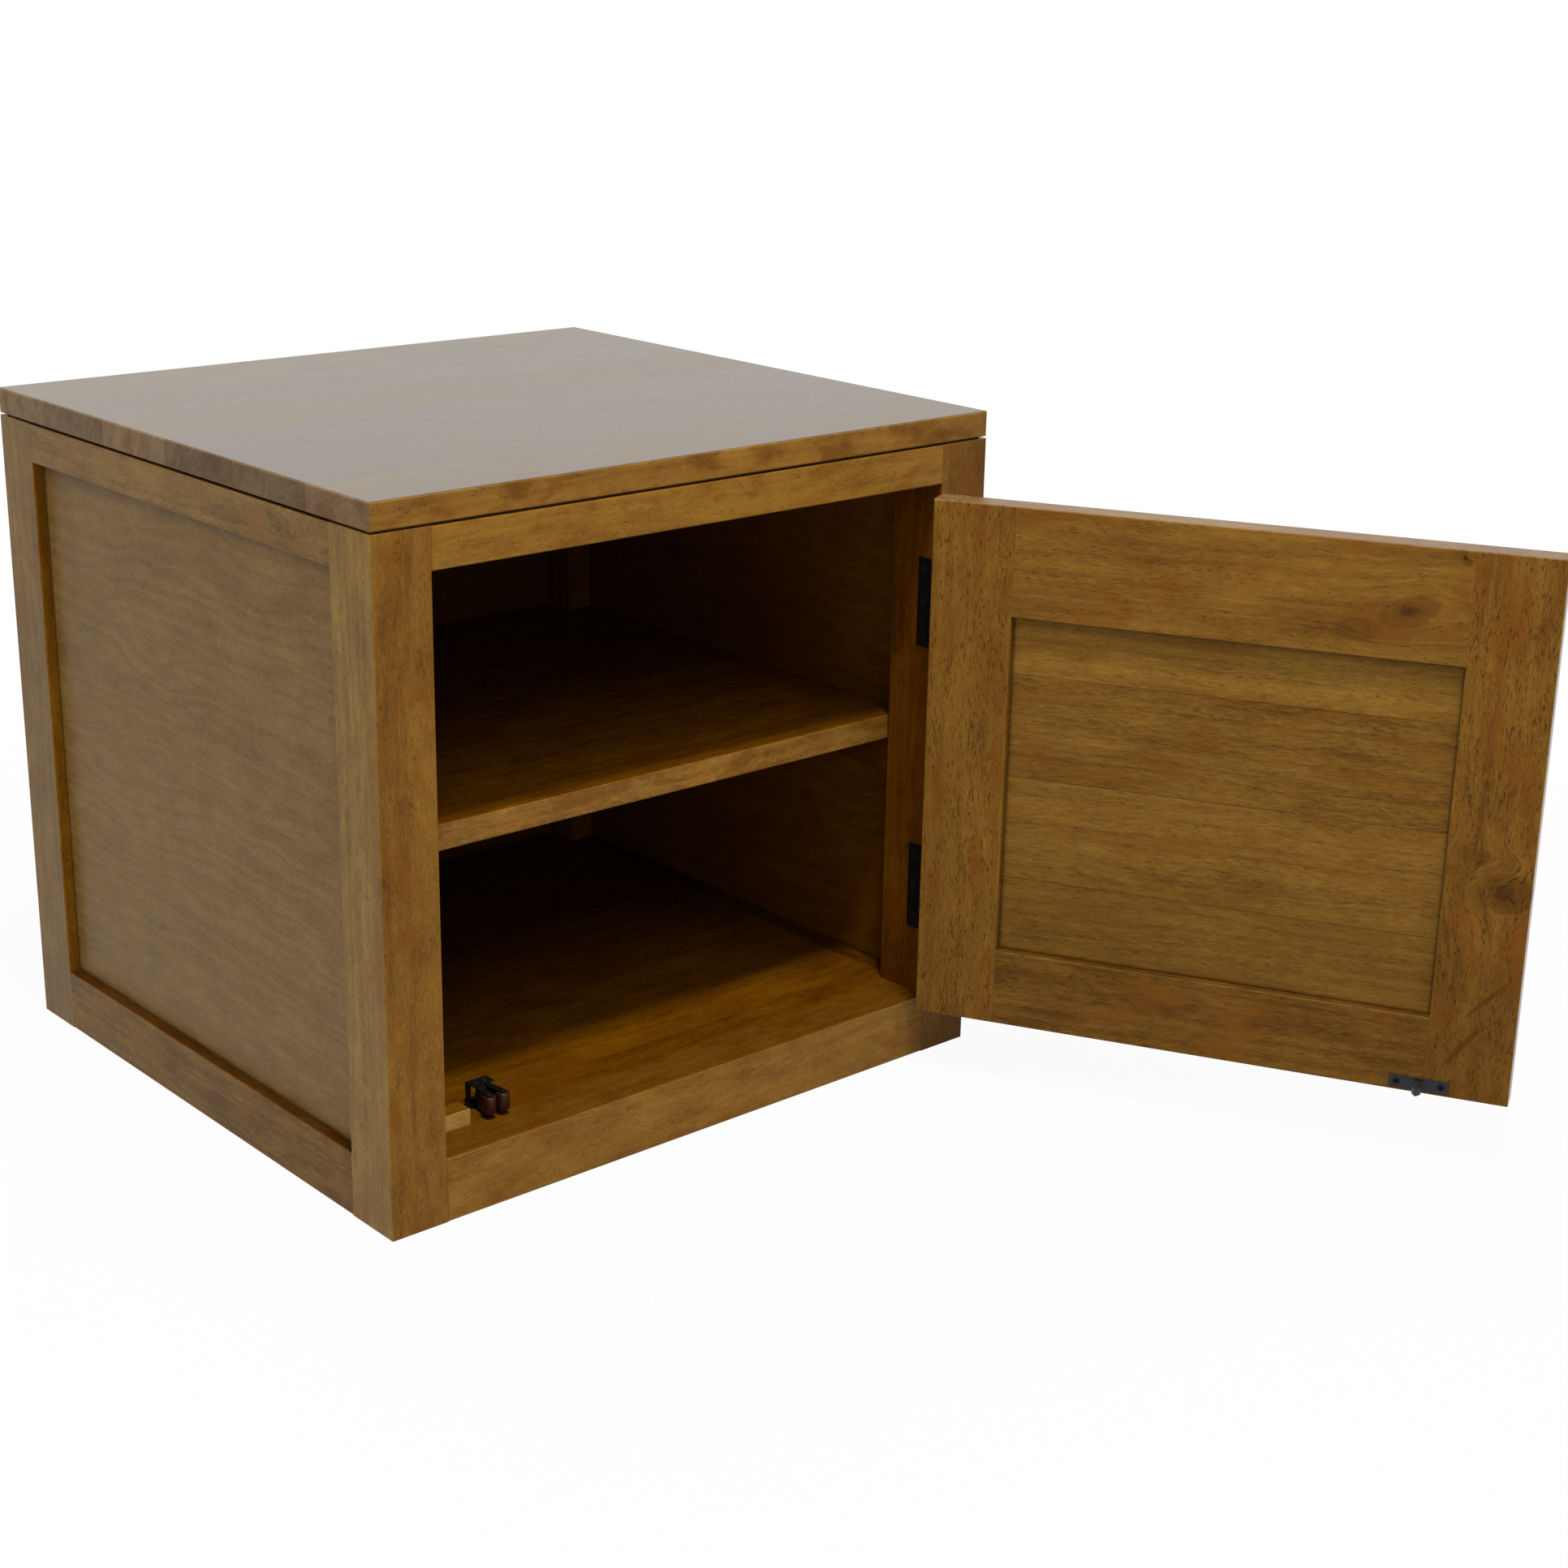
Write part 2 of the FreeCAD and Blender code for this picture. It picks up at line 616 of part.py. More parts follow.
def stile(outer, inner):
    """An upright of the door between the planes x = outer and x = inner."""
    x0, x1 = sorted((outer, inner))
    shape = box(x0, x1, DOOR_FRONT, DOOR_IN, DOOR_BOTTOM, DOOR_TOP)
    away = V(1 if inner > outer else -1, 0, 0)
    shape = door_eased(shape, V(outer, 0, DOOR_BOTTOM), V(outer, 0, DOOR_TOP), away)
    shape = door_eased(shape, V(inner, 0, recess_low), V(inner, 0, recess_high), -away)
    for z, into in ((DOOR_BOTTOM, UP), (DOOR_TOP, -UP)):
        shape = door_eased(shape, V(x0, 0, z), V(x1, 0, z), into)
    for span in door_spans.values():
        shape = shape.cut(door_tenons(span, MORTISE_END))
    return shape.cut(door_groove)


def door_rail(low, high, span):
    """A rail of the door with its two tenons."""
    shape = box(recess_left, recess_right, DOOR_FRONT, DOOR_IN, low, high)
    for z, into in ((low, UP), (high, -UP)):
        shape = door_eased(shape, V(recess_left, 0, z), V(recess_right, 0, z), into)
    return shape.fuse(door_tenons(span)).cut(door_groove)


door = {
    "door_hinge_stile": hinge_door_screws.drill(stile(DOOR_HINGE_X, recess_right)),
    "door_free_stile": strike_screws.drill(stile(DOOR_FREE_X, recess_left)),
    "door_top_rail": door_rail(recess_high, DOOR_TOP, door_spans["top"]),
    "door_bottom_rail": strike_screws.drill(door_rail(DOOR_BOTTOM, recess_low, door_spans["bottom"])),
    "door_panel": box(
        recess_left - reach,
        recess_right + reach,
        panel_front,
        panel_back,
        recess_low - reach,
        recess_high + reach,
    ),
}

# The strike plate, a window above its tongue, and the tongue's arrow head
strike = box(
    CATCH_X - STRIKE_WIDTH / 2,
    CATCH_X + STRIKE_WIDTH / 2,
    DOOR_IN,
    DOOR_IN + STRIKE_THICK,
    CATCH_MID - STRIKE_HEIGHT / 2,
    CATCH_MID + STRIKE_HEIGHT / 2,
)
neck = TONGUE_NECK / 2
tongue_low = CATCH_MID - TONGUE_HEIGHT / 2
tongue_outline = [
    V(-neck, STRIKE_THICK, 0),
    V(-neck, TONGUE_NECK_LENGTH, 0),
    V(-TONGUE_HEAD / 2, TONGUE_SHOULDER, 0),
    V(-neck, TONGUE_LENGTH, 0),
    V(neck, TONGUE_LENGTH, 0),
    V(TONGUE_HEAD / 2, TONGUE_SHOULDER, 0),
    V(neck, TONGUE_NECK_LENGTH, 0),
    V(neck, STRIKE_THICK, 0),
    V(-neck, STRIKE_THICK, 0),
]
tongue = Part.Face(Part.makePolygon(tongue_outline)).extrude(UP * TONGUE_HEIGHT)
tongue.translate(V(CATCH_X, DOOR_IN, tongue_low))
window = box(
    CATCH_X - TONGUE_HEAD / 2,
    CATCH_X + TONGUE_HEAD / 2,
    DOOR_IN,
    DOOR_IN + STRIKE_THICK,
    CATCH_MID + STRIKE_HEIGHT / 2 - TONGUE_WINDOW - STRIKE_THICK / 2,
    CATCH_MID + STRIKE_HEIGHT / 2 - STRIKE_THICK / 2,
)
door["strike_plate"] = strike_screws.drill(strike.fuse(tongue).cut(window))
door["strike_screws"] = strike_screws.solids()
for name in ("lower_hinge_door_leaf", "upper_hinge_door_leaf", "hinge_door_screws"):
    door[name] = nodes.pop(name)
for name, shape in door.items():
    shape.rotate(AXIS, UP, DOOR_OPEN)
    nodes[name] = shape

# ------------------------------------------------------ the roller catch
housing_front = ROLLER_Y + HOUSING_BEHIND_ROLLER
housing_back = housing_front + HOUSING_DEPTH
half = CATCH_WIDTH / 2
plate_top = FLOOR_TOP + CATCH_PLATE
roof_top = ROOF_BOTTOM + CATCH_ROOF
wall_front = housing_front + HOUSING_MOUTH
strip = box(-CATCH_PLATE_WIDTH / 2, CATCH_PLATE_WIDTH / 2, plate_front, plate_back, FLOOR_TOP, plate_top)
base = box(-half, half, wall_front, housing_back, FLOOR_TOP, plate_top)
roof = box(-half, half, housing_front, housing_back, ROOF_BOTTOM, roof_top)
wall = box(half - CATCH_WALL, half, wall_front, housing_back, plate_top, ROOF_BOTTOM)
housing = strip.fuse([base, roof, wall, to_left(wall)]).removeSplitter()
pins = []
for side in (-1, 1):
    foot = V(side * PIVOT_HALF_SPACING, PIVOT_Y, FLOOR_TOP)
    housing = housing.cut(Part.makeCylinder(CATCH_PIN_RADIUS + PIN_CLEAR, roof_top - FLOOR_TOP, foot))
    pins.append(Part.makeCylinder(CATCH_PIN_RADIUS, roof_top - FLOOR_TOP + PIN_PROUD, foot))
catch = {"catch_housing": housing, "catch_pivot_pins": Part.makeCompound(pins)}

# The right arm: two flat leaves joined by a web on the side away from the tongue
pivot = V(PIVOT_HALF_SPACING, PIVOT_Y, 0)
roller_axis = V(ROLLER_HALF_SPACING, ROLLER_Y, 0)
arm_length = (roller_axis - pivot).Length
arm_angle = math.degrees(math.atan2(roller_axis.x - pivot.x, pivot.y - roller_axis.y))
arm_leaf = box(-ARM_HALF_WIDTH, ARM_HALF_WIDTH, -arm_length, ARM_HALF_WIDTH, 0, ARM_SHEET)
arm_leaf = arm_leaf.fuse(Part.makeCylinder(ARM_HALF_WIDTH, ARM_SHEET, V(0, -arm_length, 0)))
for centre in (V(0, 0, 0), V(0, -arm_length, 0)):
    arm_leaf = arm_leaf.cut(Part.makeCylinder(CATCH_PIN_RADIUS + PIN_CLEAR, ARM_SHEET, centre))
arm_leaf = arm_leaf.removeSplitter()
upper_leaf = arm_leaf.copy()
upper_leaf.translate(UP * (ARM_TOP - ARM_BOTTOM - ARM_SHEET))
web = box(
    ARM_HALF_WIDTH - ARM_SHEET,
    ARM_HALF_WIDTH,
    ROLLER_RADIUS + ROLLER_SIDE_CLEAR - arm_length,
    -ARM_HALF_WIDTH - ROLLER_SIDE_CLEAR,
    ARM_SHEET,
    ARM_TOP - ARM_BOTTOM - ARM_SHEET,
)
right_arm = arm_leaf.fuse([upper_leaf, web]).removeSplitter()
right_arm.rotate(V(0, 0, 0), UP, arm_angle)
right_arm.translate(pivot + UP * ARM_BOTTOM)
roller_foot = roller_axis + UP * ROLLER_BOTTOM
right_roller = Part.makeCylinder(ROLLER_RADIUS, ROLLER_HEIGHT, roller_foot).cut(
    Part.makeCylinder(CATCH_PIN_RADIUS + PIN_CLEAR, ROLLER_HEIGHT, roller_foot)
)
right_pin = Part.makeCylinder(CATCH_PIN_RADIUS, ARM_TOP - ARM_BOTTOM, roller_axis + UP * ARM_BOTTOM)
for name, shape in (("arm", right_arm), ("roller", right_roller), ("roller_pin", right_pin)):
    catch["catch_right_" + name] = shape
    catch["catch_left_" + name] = to_left(shape)

# A torsion coil round each pivot pin, with one leg along the arm and one to the rear
coil_radius = CATCH_PIN_RADIUS + SPRING_CLEAR + SPRING_WIRE
coil_pitch = 2 * SPRING_WIRE + SPRING_CLEAR
coil_height = coil_pitch * SPRING_TURNS
coil_foot = pivot + UP * (CATCH_MID - coil_height / 2)
helix = Part.makeHelix(coil_pitch, coil_height, coil_radius)
section = []
for dx, dz in ((-1, -1), (1, -1), (1, 1), (-1, 1), (-1, -1)):
    section.append(V(coil_radius + dx * SPRING_WIRE, 0, dz * SPRING_WIRE))
wire_end = Part.makePolygon(section)
coil = Part.Wire(helix.Edges).makePipeShell([wire_end], True, True)
front_leg = Part.Face(wire_end).extrude(V(0, -SPRING_LEG, 0))
rear_leg = Part.Face(wire_end).extrude(V(0, SPRING_LEG, 0))
rear_leg.translate(UP * coil_height)
spring = coil.fuse([front_leg, rear_leg])
spring.translate(coil_foot)
catch["catch_springs"] = Part.makeCompound([spring, to_left(spring)])
for name, shape in catch.items():
    shape.translate(V(CATCH_X, 0, 0))
    nodes[name] = shape
nodes["catch_housing"] = catch_screws.drill(nodes["catch_housing"])
nodes["catch_screws"] = catch_screws.solids()

# --------------------------------------------------------------- export
os.makedirs("parts", exist_ok=True)
for name, shape in nodes.items():
    shape.exportStep("parts/" + name + ".step")
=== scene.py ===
"""Looks of a storage side table with a hinged door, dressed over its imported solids.

Each sub-assembly is a class that names its pieces and gives them their finishes.  Lengths
are in metres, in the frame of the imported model, and colours are linear.
"""

import json
import logging
import math
from dataclasses import dataclass
from enum import Enum

import bmesh
import bpy
import numpy as np
from mathutils import Matrix, Vector

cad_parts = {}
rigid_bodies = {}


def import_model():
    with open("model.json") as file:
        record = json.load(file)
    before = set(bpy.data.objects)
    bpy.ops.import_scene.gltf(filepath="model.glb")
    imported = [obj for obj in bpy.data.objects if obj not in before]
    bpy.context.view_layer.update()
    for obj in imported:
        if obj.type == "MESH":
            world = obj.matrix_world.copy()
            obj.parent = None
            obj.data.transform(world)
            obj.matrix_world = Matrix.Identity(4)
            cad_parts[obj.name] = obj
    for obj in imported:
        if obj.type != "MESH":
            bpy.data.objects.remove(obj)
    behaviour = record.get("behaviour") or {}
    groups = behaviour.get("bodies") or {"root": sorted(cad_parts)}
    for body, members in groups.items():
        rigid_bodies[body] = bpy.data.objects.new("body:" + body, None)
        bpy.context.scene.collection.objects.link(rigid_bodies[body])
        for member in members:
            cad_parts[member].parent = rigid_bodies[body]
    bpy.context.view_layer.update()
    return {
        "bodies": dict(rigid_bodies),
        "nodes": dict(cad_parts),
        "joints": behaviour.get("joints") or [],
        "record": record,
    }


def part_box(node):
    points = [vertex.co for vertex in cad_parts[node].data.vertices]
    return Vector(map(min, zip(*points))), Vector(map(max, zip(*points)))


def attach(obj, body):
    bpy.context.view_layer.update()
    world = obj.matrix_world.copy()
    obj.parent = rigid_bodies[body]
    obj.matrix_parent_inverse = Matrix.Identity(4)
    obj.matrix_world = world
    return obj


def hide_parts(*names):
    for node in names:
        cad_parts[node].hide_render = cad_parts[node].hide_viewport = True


LOG = logging.getLogger("side_table")

Colour = tuple[float, float, float]
Point = tuple[float, float, float]
Span = tuple[float, float]
Socket = bpy.types.NodeSocket
Value = Socket | float | Colour

# The hinge line of the door and the angle at which the door stands open
HINGE_LINE: Point = (0.2116, -0.0227, 0.0)
DOOR_OPEN = math.radians(117.8)

LEFT, RIGHT, UP = (-1.0, 0.0, 0.0), (1.0, 0.0, 0.0), (0.0, 0.0, 1.0)
FRONT, BACK = (0.0, -1.0, 0.0), (0.0, 1.0, 0.0)
WHITE: Colour = (1.0, 1.0, 1.0)


class Grain(Enum):
    """The way a board's fibres run, and the way its width runs, with the door shut."""

    ACROSS_UPRIGHT = ((1, 0, 0), (0, 0, 1))
    ACROSS_FLAT = ((1, 0, 0), (0, 1, 0))
    UPRIGHT_FRONT = ((0, 0, 1), (1, 0, 0))
    DEEP_UPRIGHT = ((0, 1, 0), (0, 0, 1))

    def rows(self) -> Matrix:
        """The turn from the table's axes to the board's axes: along, across and through."""
        along, across = (Vector(axis) for axis in self.value)
        return Matrix((along, across, along.cross(across)))


@dataclass(frozen=True)
class Noise:
    """Smooth noise, by its cells in a metre along each axis and by how fine it gets."""

    cells: Point
    detail: float = 2.0
    rough: float = 0.5


# Layers of the wood's figure, with their cells drawn out along the fibres
WANDER = Noise((3.4, 17.0, 17.0), 3.0)
RING_DRIFT = Noise((1.5, 70.0, 70.0), 1.0)
BANDS = Noise((10.0, 190.0, 190.0), 3.0, 0.6)
FLECKS = Noise((105.0, 700.0, 700.0), 5.0, 0.74)
CLOUDS = Noise((14.0, 34.0, 34.0), 4.0, 0.6)
RED_PATCHES = Noise((17.0, 52.0, 52.0), 3.0, 0.6)
PORES = Noise((260.0, 1500.0, 1500.0), 2.0, 0.6)
PORE_CROWDS = Noise((30.0, 130.0, 130.0))
KNOT_OUTLINE = Noise((110.0, 110.0, 110.0))

# Layers of the wear on metal and plastic, with their cells counted in the finish's grit
SCRATCHES = Noise((0.15, 2.6, 0.9), 3.0, 0.6)
SPOTS = Noise((2.2, 2.2, 2.2), 3.0, 0.65)
SLOW_CHANGE = Noise((0.22, 0.22, 0.22))


class Graph:
    """Adds nodes to one node tree and joins them."""

    # Where a Mix node keeps its two colours and the mixed one
    MIX_COLOURS, MIX_RESULT = slice(6, 8), 2

    def __init__(self, tree: bpy.types.NodeTree) -> None:
        """Start on an empty tree."""
        self.tree = tree
        tree.nodes.clear()

    def add(self, kind: str, *values: Value, **settings: object) -> bpy.types.Node:
        """Add one node and feed its first inputs.

        Args:
            kind: the node's type name without its ShaderNode prefix.
            values: what its first inputs get, in their order.
            settings: properties to write on the node.

        Returns:
            The new node.
        """
        node = self.tree.nodes.new("ShaderNode" + kind)
        for name, setting in settings.items():
            setattr(node, name, setting)
        for target, value in zip(node.inputs, values):
            self.feed(target, value)
        return node

    def feed(self, target: Socket, value: Value) -> None:
        """Join a socket to the target, or write a plain value on it.

        Args:
            target: the input socket.
            value: an output socket, a number, a colour or a vector.
        """
        if isinstance(value, bpy.types.NodeSocket):
            self.tree.links.new(value, target)
        elif isinstance(value, tuple) and target.type == "RGBA":
            target.default_value = (*value, 1.0)
        else:
            target.default_value = value

    def fill(self, node: bpy.types.Node, **values: Value) -> None:
        """Feed a node's inputs by their names, with _ for a blank."""
        for name, value in values.items():
            self.feed(node.inputs[name.replace("_", " ")], value)

    def math(self, operation: str, *values: Value) -> Socket:
        """Combine one to three numbers and return the result's socket."""
        return self.add("Math", *values, operation=operation).outputs[0]

    def times(self, first: Value, second: Value) -> Socket:
        """One number times another."""
        return self.math("MULTIPLY", first, second)

    def remap(self, value: Value, low: Value, high: Value, *onto: float) -> Socket:
        """Carry a number smoothly from one span onto another, and hold it past the ends.

        Args:
            value: the number.
            low: where its span begins.
            high: where its span ends.
            onto: what the two ends become, if not 0 and 1.

        Returns:
            The new number's socket.
        """
        ends = (low, high, *(onto or (0.0, 1.0)))
        return self.add("MapRange", value, *ends, interpolation_type="SMOOTHSTEP").outputs[0]

    def vector(self, operation: str, first: Value, second: Value = (0.0, 0.0, 0.0)) -> Socket:
        """Combine two vectors, or a vector and its scale.

        Args:
            operation: the operation of the vector node.
            first: the first vector.
            second: the second vector, or the scale.

        Returns:
            The socket of the new vector, or of a number for a length or a dot product.
        """
        node = self.add("VectorMath", first, operation=operation)
        self.feed(node.inputs["Scale" if operation == "SCALE" else 1], second)
        return node.outputs["Value" if operation in ("LENGTH", "DOT_PRODUCT") else "Vector"]

    def split(self, vector: Socket) -> list[Socket]:
        """The three parts of a vector."""
        return list(self.add("SeparateXYZ", vector).outputs)

    def join(self, x: Value, y: Value, z: Value) -> Socket:
        """A vector of three numbers."""
        return self.add("CombineXYZ", x, y, z).outputs[0]

    def noise(self, vector: Value, layer: Noise, output: str = "Fac") -> Socket:
        """Read a layer of noise at a place.

        Args:
            vector: the place.
            layer: the layer.
            output: Fac for a number, or Color for three.

        Returns:
            The noise's socket.
        """
        node = self.add("TexNoise", self.vector("MULTIPLY", vector, layer.cells))
        self.fill(node, Scale=1.0, Detail=layer.detail, Roughness=layer.rough)
        return node.outputs[output]

    def blend(self, factor: Value, first: Value, second: Value) -> Socket:
        """Mix two colours.

        Args:
            factor: 0 for the first colour and 1 for the second.
            first: the first colour.
            second: the second colour.

        Returns:
            The mixed colour's socket.
        """
        node = self.add("Mix", factor, data_type="RGBA")
        for target, colour in zip(node.inputs[self.MIX_COLOURS], (first, second)):
            self.feed(target, colour)
        return node.outputs[self.MIX_RESULT]

    def lay(self, under: Value, over: Colour, mask: Socket, share: float) -> Socket:
        """Lay one colour over another as far as a mask says, times a share."""
        return self.blend(self.times(mask, share), under, over)

    def ramp(self, factor: Value, stops: tuple[tuple[float, Colour], ...]) -> Socket:
        """Turn a number from 0 to 1 into a colour.

        Args:
            factor: the number.
            stops: places from 0 to 1 and their colours, in rising order.

        Returns:
            The colour's socket.
        """
        node = self.add("ValToRGB", factor)
        elements = node.color_ramp.elements
        while len(elements) < len(stops):
            elements.new(0.5)
        for element, (place, colour) in zip(elements, stops):
            element.position = place
            element.color = (*colour, 1.0)
        return node.outputs[0]

    def weigh(self, start: Value, *parts: tuple[Socket, Value]) -> Socket:
        """Add to a start value how far each part is from one half, times its share.

        Args:
            start: the value to start from.
            parts: each part's socket and its share.

        Returns:
            The sum's socket.
        """
        total = start
        for part, share in parts:
            total = self.math("MULTIPLY_ADD", self.math("SUBTRACT", part, 0.5), share, total)
        return total

    def close(self, height: Socket, relief: float, depth: float, **values: Value) -> None:
        """End a material in a Principled shader with a bump.

        Args:
            height: what the bump reads.
            relief: the bump's strength.
            depth: how high a full bump stands.
            values: what the shader's inputs get, by name, with _ for a blank.
        """
        bump = self.add("Bump")
        self.fill(bump, Strength=relief, Distance=depth, Height=height)
        shader = self.add("BsdfPrincipled")
        self.fill(shader, Normal=bump.outputs[0], **values)
        self.add("OutputMaterial", shader.outputs[0])


def blank_material(name: str) -> tuple[bpy.types.Material, Graph]:
    """Make a material with no nodes yet.

    Args:
        name: the material's name.

    Returns:
        The material and its graph.
    """
    material = bpy.data.materials.new(name)
    material.use_nodes = True
    return material, Graph(material.node_tree)


class Effects:
    """The node groups that several finishes share, each of them built once."""

    # The sockets that carry a place or a direction, while all others carry a number
    VECTORS = ("Vector", "Pith", "Centre", "Long Axis", "Short Axis", "Half")
    # The two axes square to the fibres, and the middle of noise
    SQUARE, MIDDLE = (0.0, 1.0, 1.0), (0.5, 0.5, 0.5)
    # How many rings the drift is worth
    DRIFT_TURNS = 2.4
    # A pore is a peak over this level, lower in a crowd, and sinks by this depth
    PORE_LEVEL, PORE_CROWDING, PORE_FADE, PORE_DEPTH = 0.72, 0.3, 0.07, -0.8
    # The noise between which a patch turns red
    RED_SPAN: Span = (0.47, 0.7)
    # How far a glued board is slid at most, and where a seam begins and is full
    BOARD_SLIDE: Point = (3.0, 0.6, 0.6)
    SEAM_SPAN: Span = (0.00055, 0.0001)
    # A knot's unevenness, how fast its pull falls off, and how close its rings lie
    KNOT_UNEVEN, KNOT_FALL, KNOT_RINGS = 0.6, -0.3, 15.0
    # The reach at which a knot's core, body and rings begin and are full, and its dark rings
    CORE_SPAN, BODY_SPAN, RINGS_SPAN = (0.5, 0.22), (1.25, 0.75), (1.9, 1.0)
    RING_WAVE_SPAN: Span = (0.2, 0.9)
    # The noise between which scratches and spots show, and how much the spots stand out
    SCRATCH_SPAN, SPOT_SPAN, SPOT_HEIGHT = (0.55, 0.72), (0.5, 0.75), 0.7

    def __init__(self) -> None:
        """Build every group."""
        self.groups = {
            "grain": self._grain(),
            "boards": self._boards(),
            "knot": self._knot(),
            "edges": self._edges(),
            "wear": self._wear(),
        }

    def place(self, graph: Graph, name: str, **values: Value) -> bpy.types.NodeOutputs:
        """Put a group into a material.

        Args:
            graph: the material's graph.
            name: the group's name.
            values: sockets or numbers for its inputs, with _ for a blank.

        Returns:
            The group's outputs.
        """
        node = graph.add("Group", node_tree=self.groups[name])
        graph.fill(node, **values)
        return node.outputs

    def _open(
        self, name: str, inputs: tuple[str, ...], outputs: tuple[str, ...]
    ) -> tuple[Graph, list[Socket], bpy.types.Node]:
        """Start a group with named sockets.

        Args:
            name: the group's name.
            inputs: the inputs' names.
            outputs: the outputs' names.

        Returns:
            The graph, the sockets that bring the inputs, and the node that takes the outputs.
        """
        tree = bpy.data.node_groups.new(name, "ShaderNodeTree")
        for way, sockets in (("INPUT", inputs), ("OUTPUT", outputs)):
            for socket in sockets:
                kind = "NodeSocketVector" if socket in self.VECTORS else "NodeSocketFloat"
                tree.interface.new_socket(name=socket, in_out=way, socket_type=kind)
        graph = Graph(tree)
        source = tree.nodes.new("NodeGroupInput")
        return graph, source.outputs[:len(inputs)], tree.nodes.new("NodeGroupOutput")

    def _grain(self) -> bpy.types.NodeTree:
        """Wood in the round, with its fibres along X.

        A growth ring is where the distance from the pith, bent by slow noise, passes a
        multiple of the ring width.  Bands, flecks and pores are noise drawn out along X, each
        finer than the one before, and a pore is a peak of the finest one.

        Returns:
            The group.
        """
        inputs = (
            "Vector", "Pith", "Ring Width", "Waver", "Tone", "Ring Share", "Band Share",
            "Fleck Share", "Cloud Share", "Pore Share", "Pore Size",
        )
        graph, given, sink = self._open("wood_grain", inputs, ("Level", "Pores", "Red", "Height"))
        place, pith, ring_width, waver, tone, *shares, pore_share, pore_size = given
        wander = graph.vector("SUBTRACT", graph.noise(place, WANDER, "Color"), self.MIDDLE)
        offset = graph.vector("SCALE", graph.vector("MULTIPLY", wander, self.SQUARE), waver)
        bent = graph.vector("ADD", place, offset)
        around = graph.vector("MULTIPLY", graph.vector("SUBTRACT", bent, pith), self.SQUARE)
        turns = graph.math("DIVIDE", graph.vector("LENGTH", around), ring_width)
        drift = graph.noise(bent, RING_DRIFT)
        phase = graph.math("MULTIPLY_ADD", drift, self.DRIFT_TURNS, turns)
        wave = graph.math("SINE", graph.times(phase, 2 * math.pi))
        rings = graph.math("MULTIPLY_ADD", wave, 0.5, 0.5)
        flecks = graph.noise(bent, FLECKS)
        parts = (rings, graph.noise(bent, BANDS), flecks, graph.noise(bent, CLOUDS))
        shrunk = graph.vector("SCALE", bent, graph.math("DIVIDE", 1.0, pore_size))
        crowd = graph.math("SUBTRACT", 0.5, graph.noise(bent, PORE_CROWDS))
        sparse = graph.math("SUBTRACT", self.PORE_LEVEL, pore_share)
        limit = graph.math("MULTIPLY_ADD", crowd, self.PORE_CROWDING, sparse)
        peaks = graph.math("SUBTRACT", graph.noise(shrunk, PORES), limit)
        pores = graph.remap(peaks, 0.0, self.PORE_FADE)
        graph.fill(
            sink,
            Level=graph.weigh(graph.math("ADD", tone, 0.5), *zip(parts, shares)),
            Pores=pores,
            Red=graph.remap(graph.noise(bent, RED_PATCHES), *self.RED_SPAN),
            Height=graph.math("MULTIPLY_ADD", pores, self.PORE_DEPTH, flecks),
        )
        return graph.tree

    def _boards(self) -> bpy.types.NodeTree:
        """Boards glued edge to edge: each one shifts the wood by its own amount.

        The board's number is the whole part of the place across over the board width, and a
        seam is where that fraction is next to 0 or 1.

        Returns:
            The group.
        """
        graph, given, sink = self._open(
            "glued_boards", ("Vector", "Width", "Start", "Seed"), ("Vector", "Tint", "Seam")
        )
        place, width, start, seed = given
        across = graph.split(place)[1]
        count = graph.math("DIVIDE", graph.math("ADD", across, start), width)
        random = graph.add("TexWhiteNoise", noise_dimensions="1D")
        graph.fill(random, W=graph.math("ADD", graph.math("FLOOR", count), seed))
        slide = graph.vector("MULTIPLY", random.outputs["Color"], self.BOARD_SLIDE)
        part = graph.math("FRACT", count)
        near = graph.math("MINIMUM", part, graph.math("SUBTRACT", 1.0, part))
        graph.fill(
            sink,
            Vector=graph.vector("ADD", place, slide),
            Tint=random.outputs["Value"],
            Seam=graph.remap(graph.times(near, width), *self.SEAM_SPAN),
        )
        return graph.tree

    def _knot(self) -> bpy.types.NodeTree:
        """A knot that pushes the grain round itself.

        The reach is the distance from the knot's middle, counted in its half length along one
        axis and in its half width along the other.  The place across is drawn towards the
        middle by a bell curve of the reach, so the grain parts round it.

        Returns:
            The group.
        """
        graph, given, sink = self._open(
            "knot",
            ("Vector", "Centre", "Long Axis", "Short Axis", "Pull"),
            ("Vector", "Core", "Body", "Rings"),
        )
        place, centre, long_axis, short_axis, pull = given
        away = graph.vector("SUBTRACT", place, centre)
        along = graph.vector("DOT_PRODUCT", away, long_axis)
        across = graph.vector("DOT_PRODUCT", away, short_axis)
        reach = graph.vector("LENGTH", graph.join(along, across, 0.0))
        outline = graph.math("SUBTRACT", graph.noise(place, KNOT_OUTLINE), 0.5)
        uneven = graph.math("MULTIPLY_ADD", outline, self.KNOT_UNEVEN, reach)
        bell = graph.math("EXPONENT", graph.times(graph.times(reach, reach), self.KNOT_FALL))
        amount = graph.times(graph.times(bell, pull), graph.split(away)[1])
        wave = graph.math("SINE", graph.times(uneven, self.KNOT_RINGS))
        dark = graph.remap(wave, *self.RING_WAVE_SPAN)
        graph.fill(
            sink,
            Vector=graph.vector("SUBTRACT", place, graph.join(0.0, amount, 0.0)),
            Core=graph.remap(uneven, *self.CORE_SPAN),
            Body=graph.remap(uneven, *self.BODY_SPAN),
            Rings=graph.times(dark, graph.remap(uneven, *self.RINGS_SPAN)),
        )
        return graph.tree

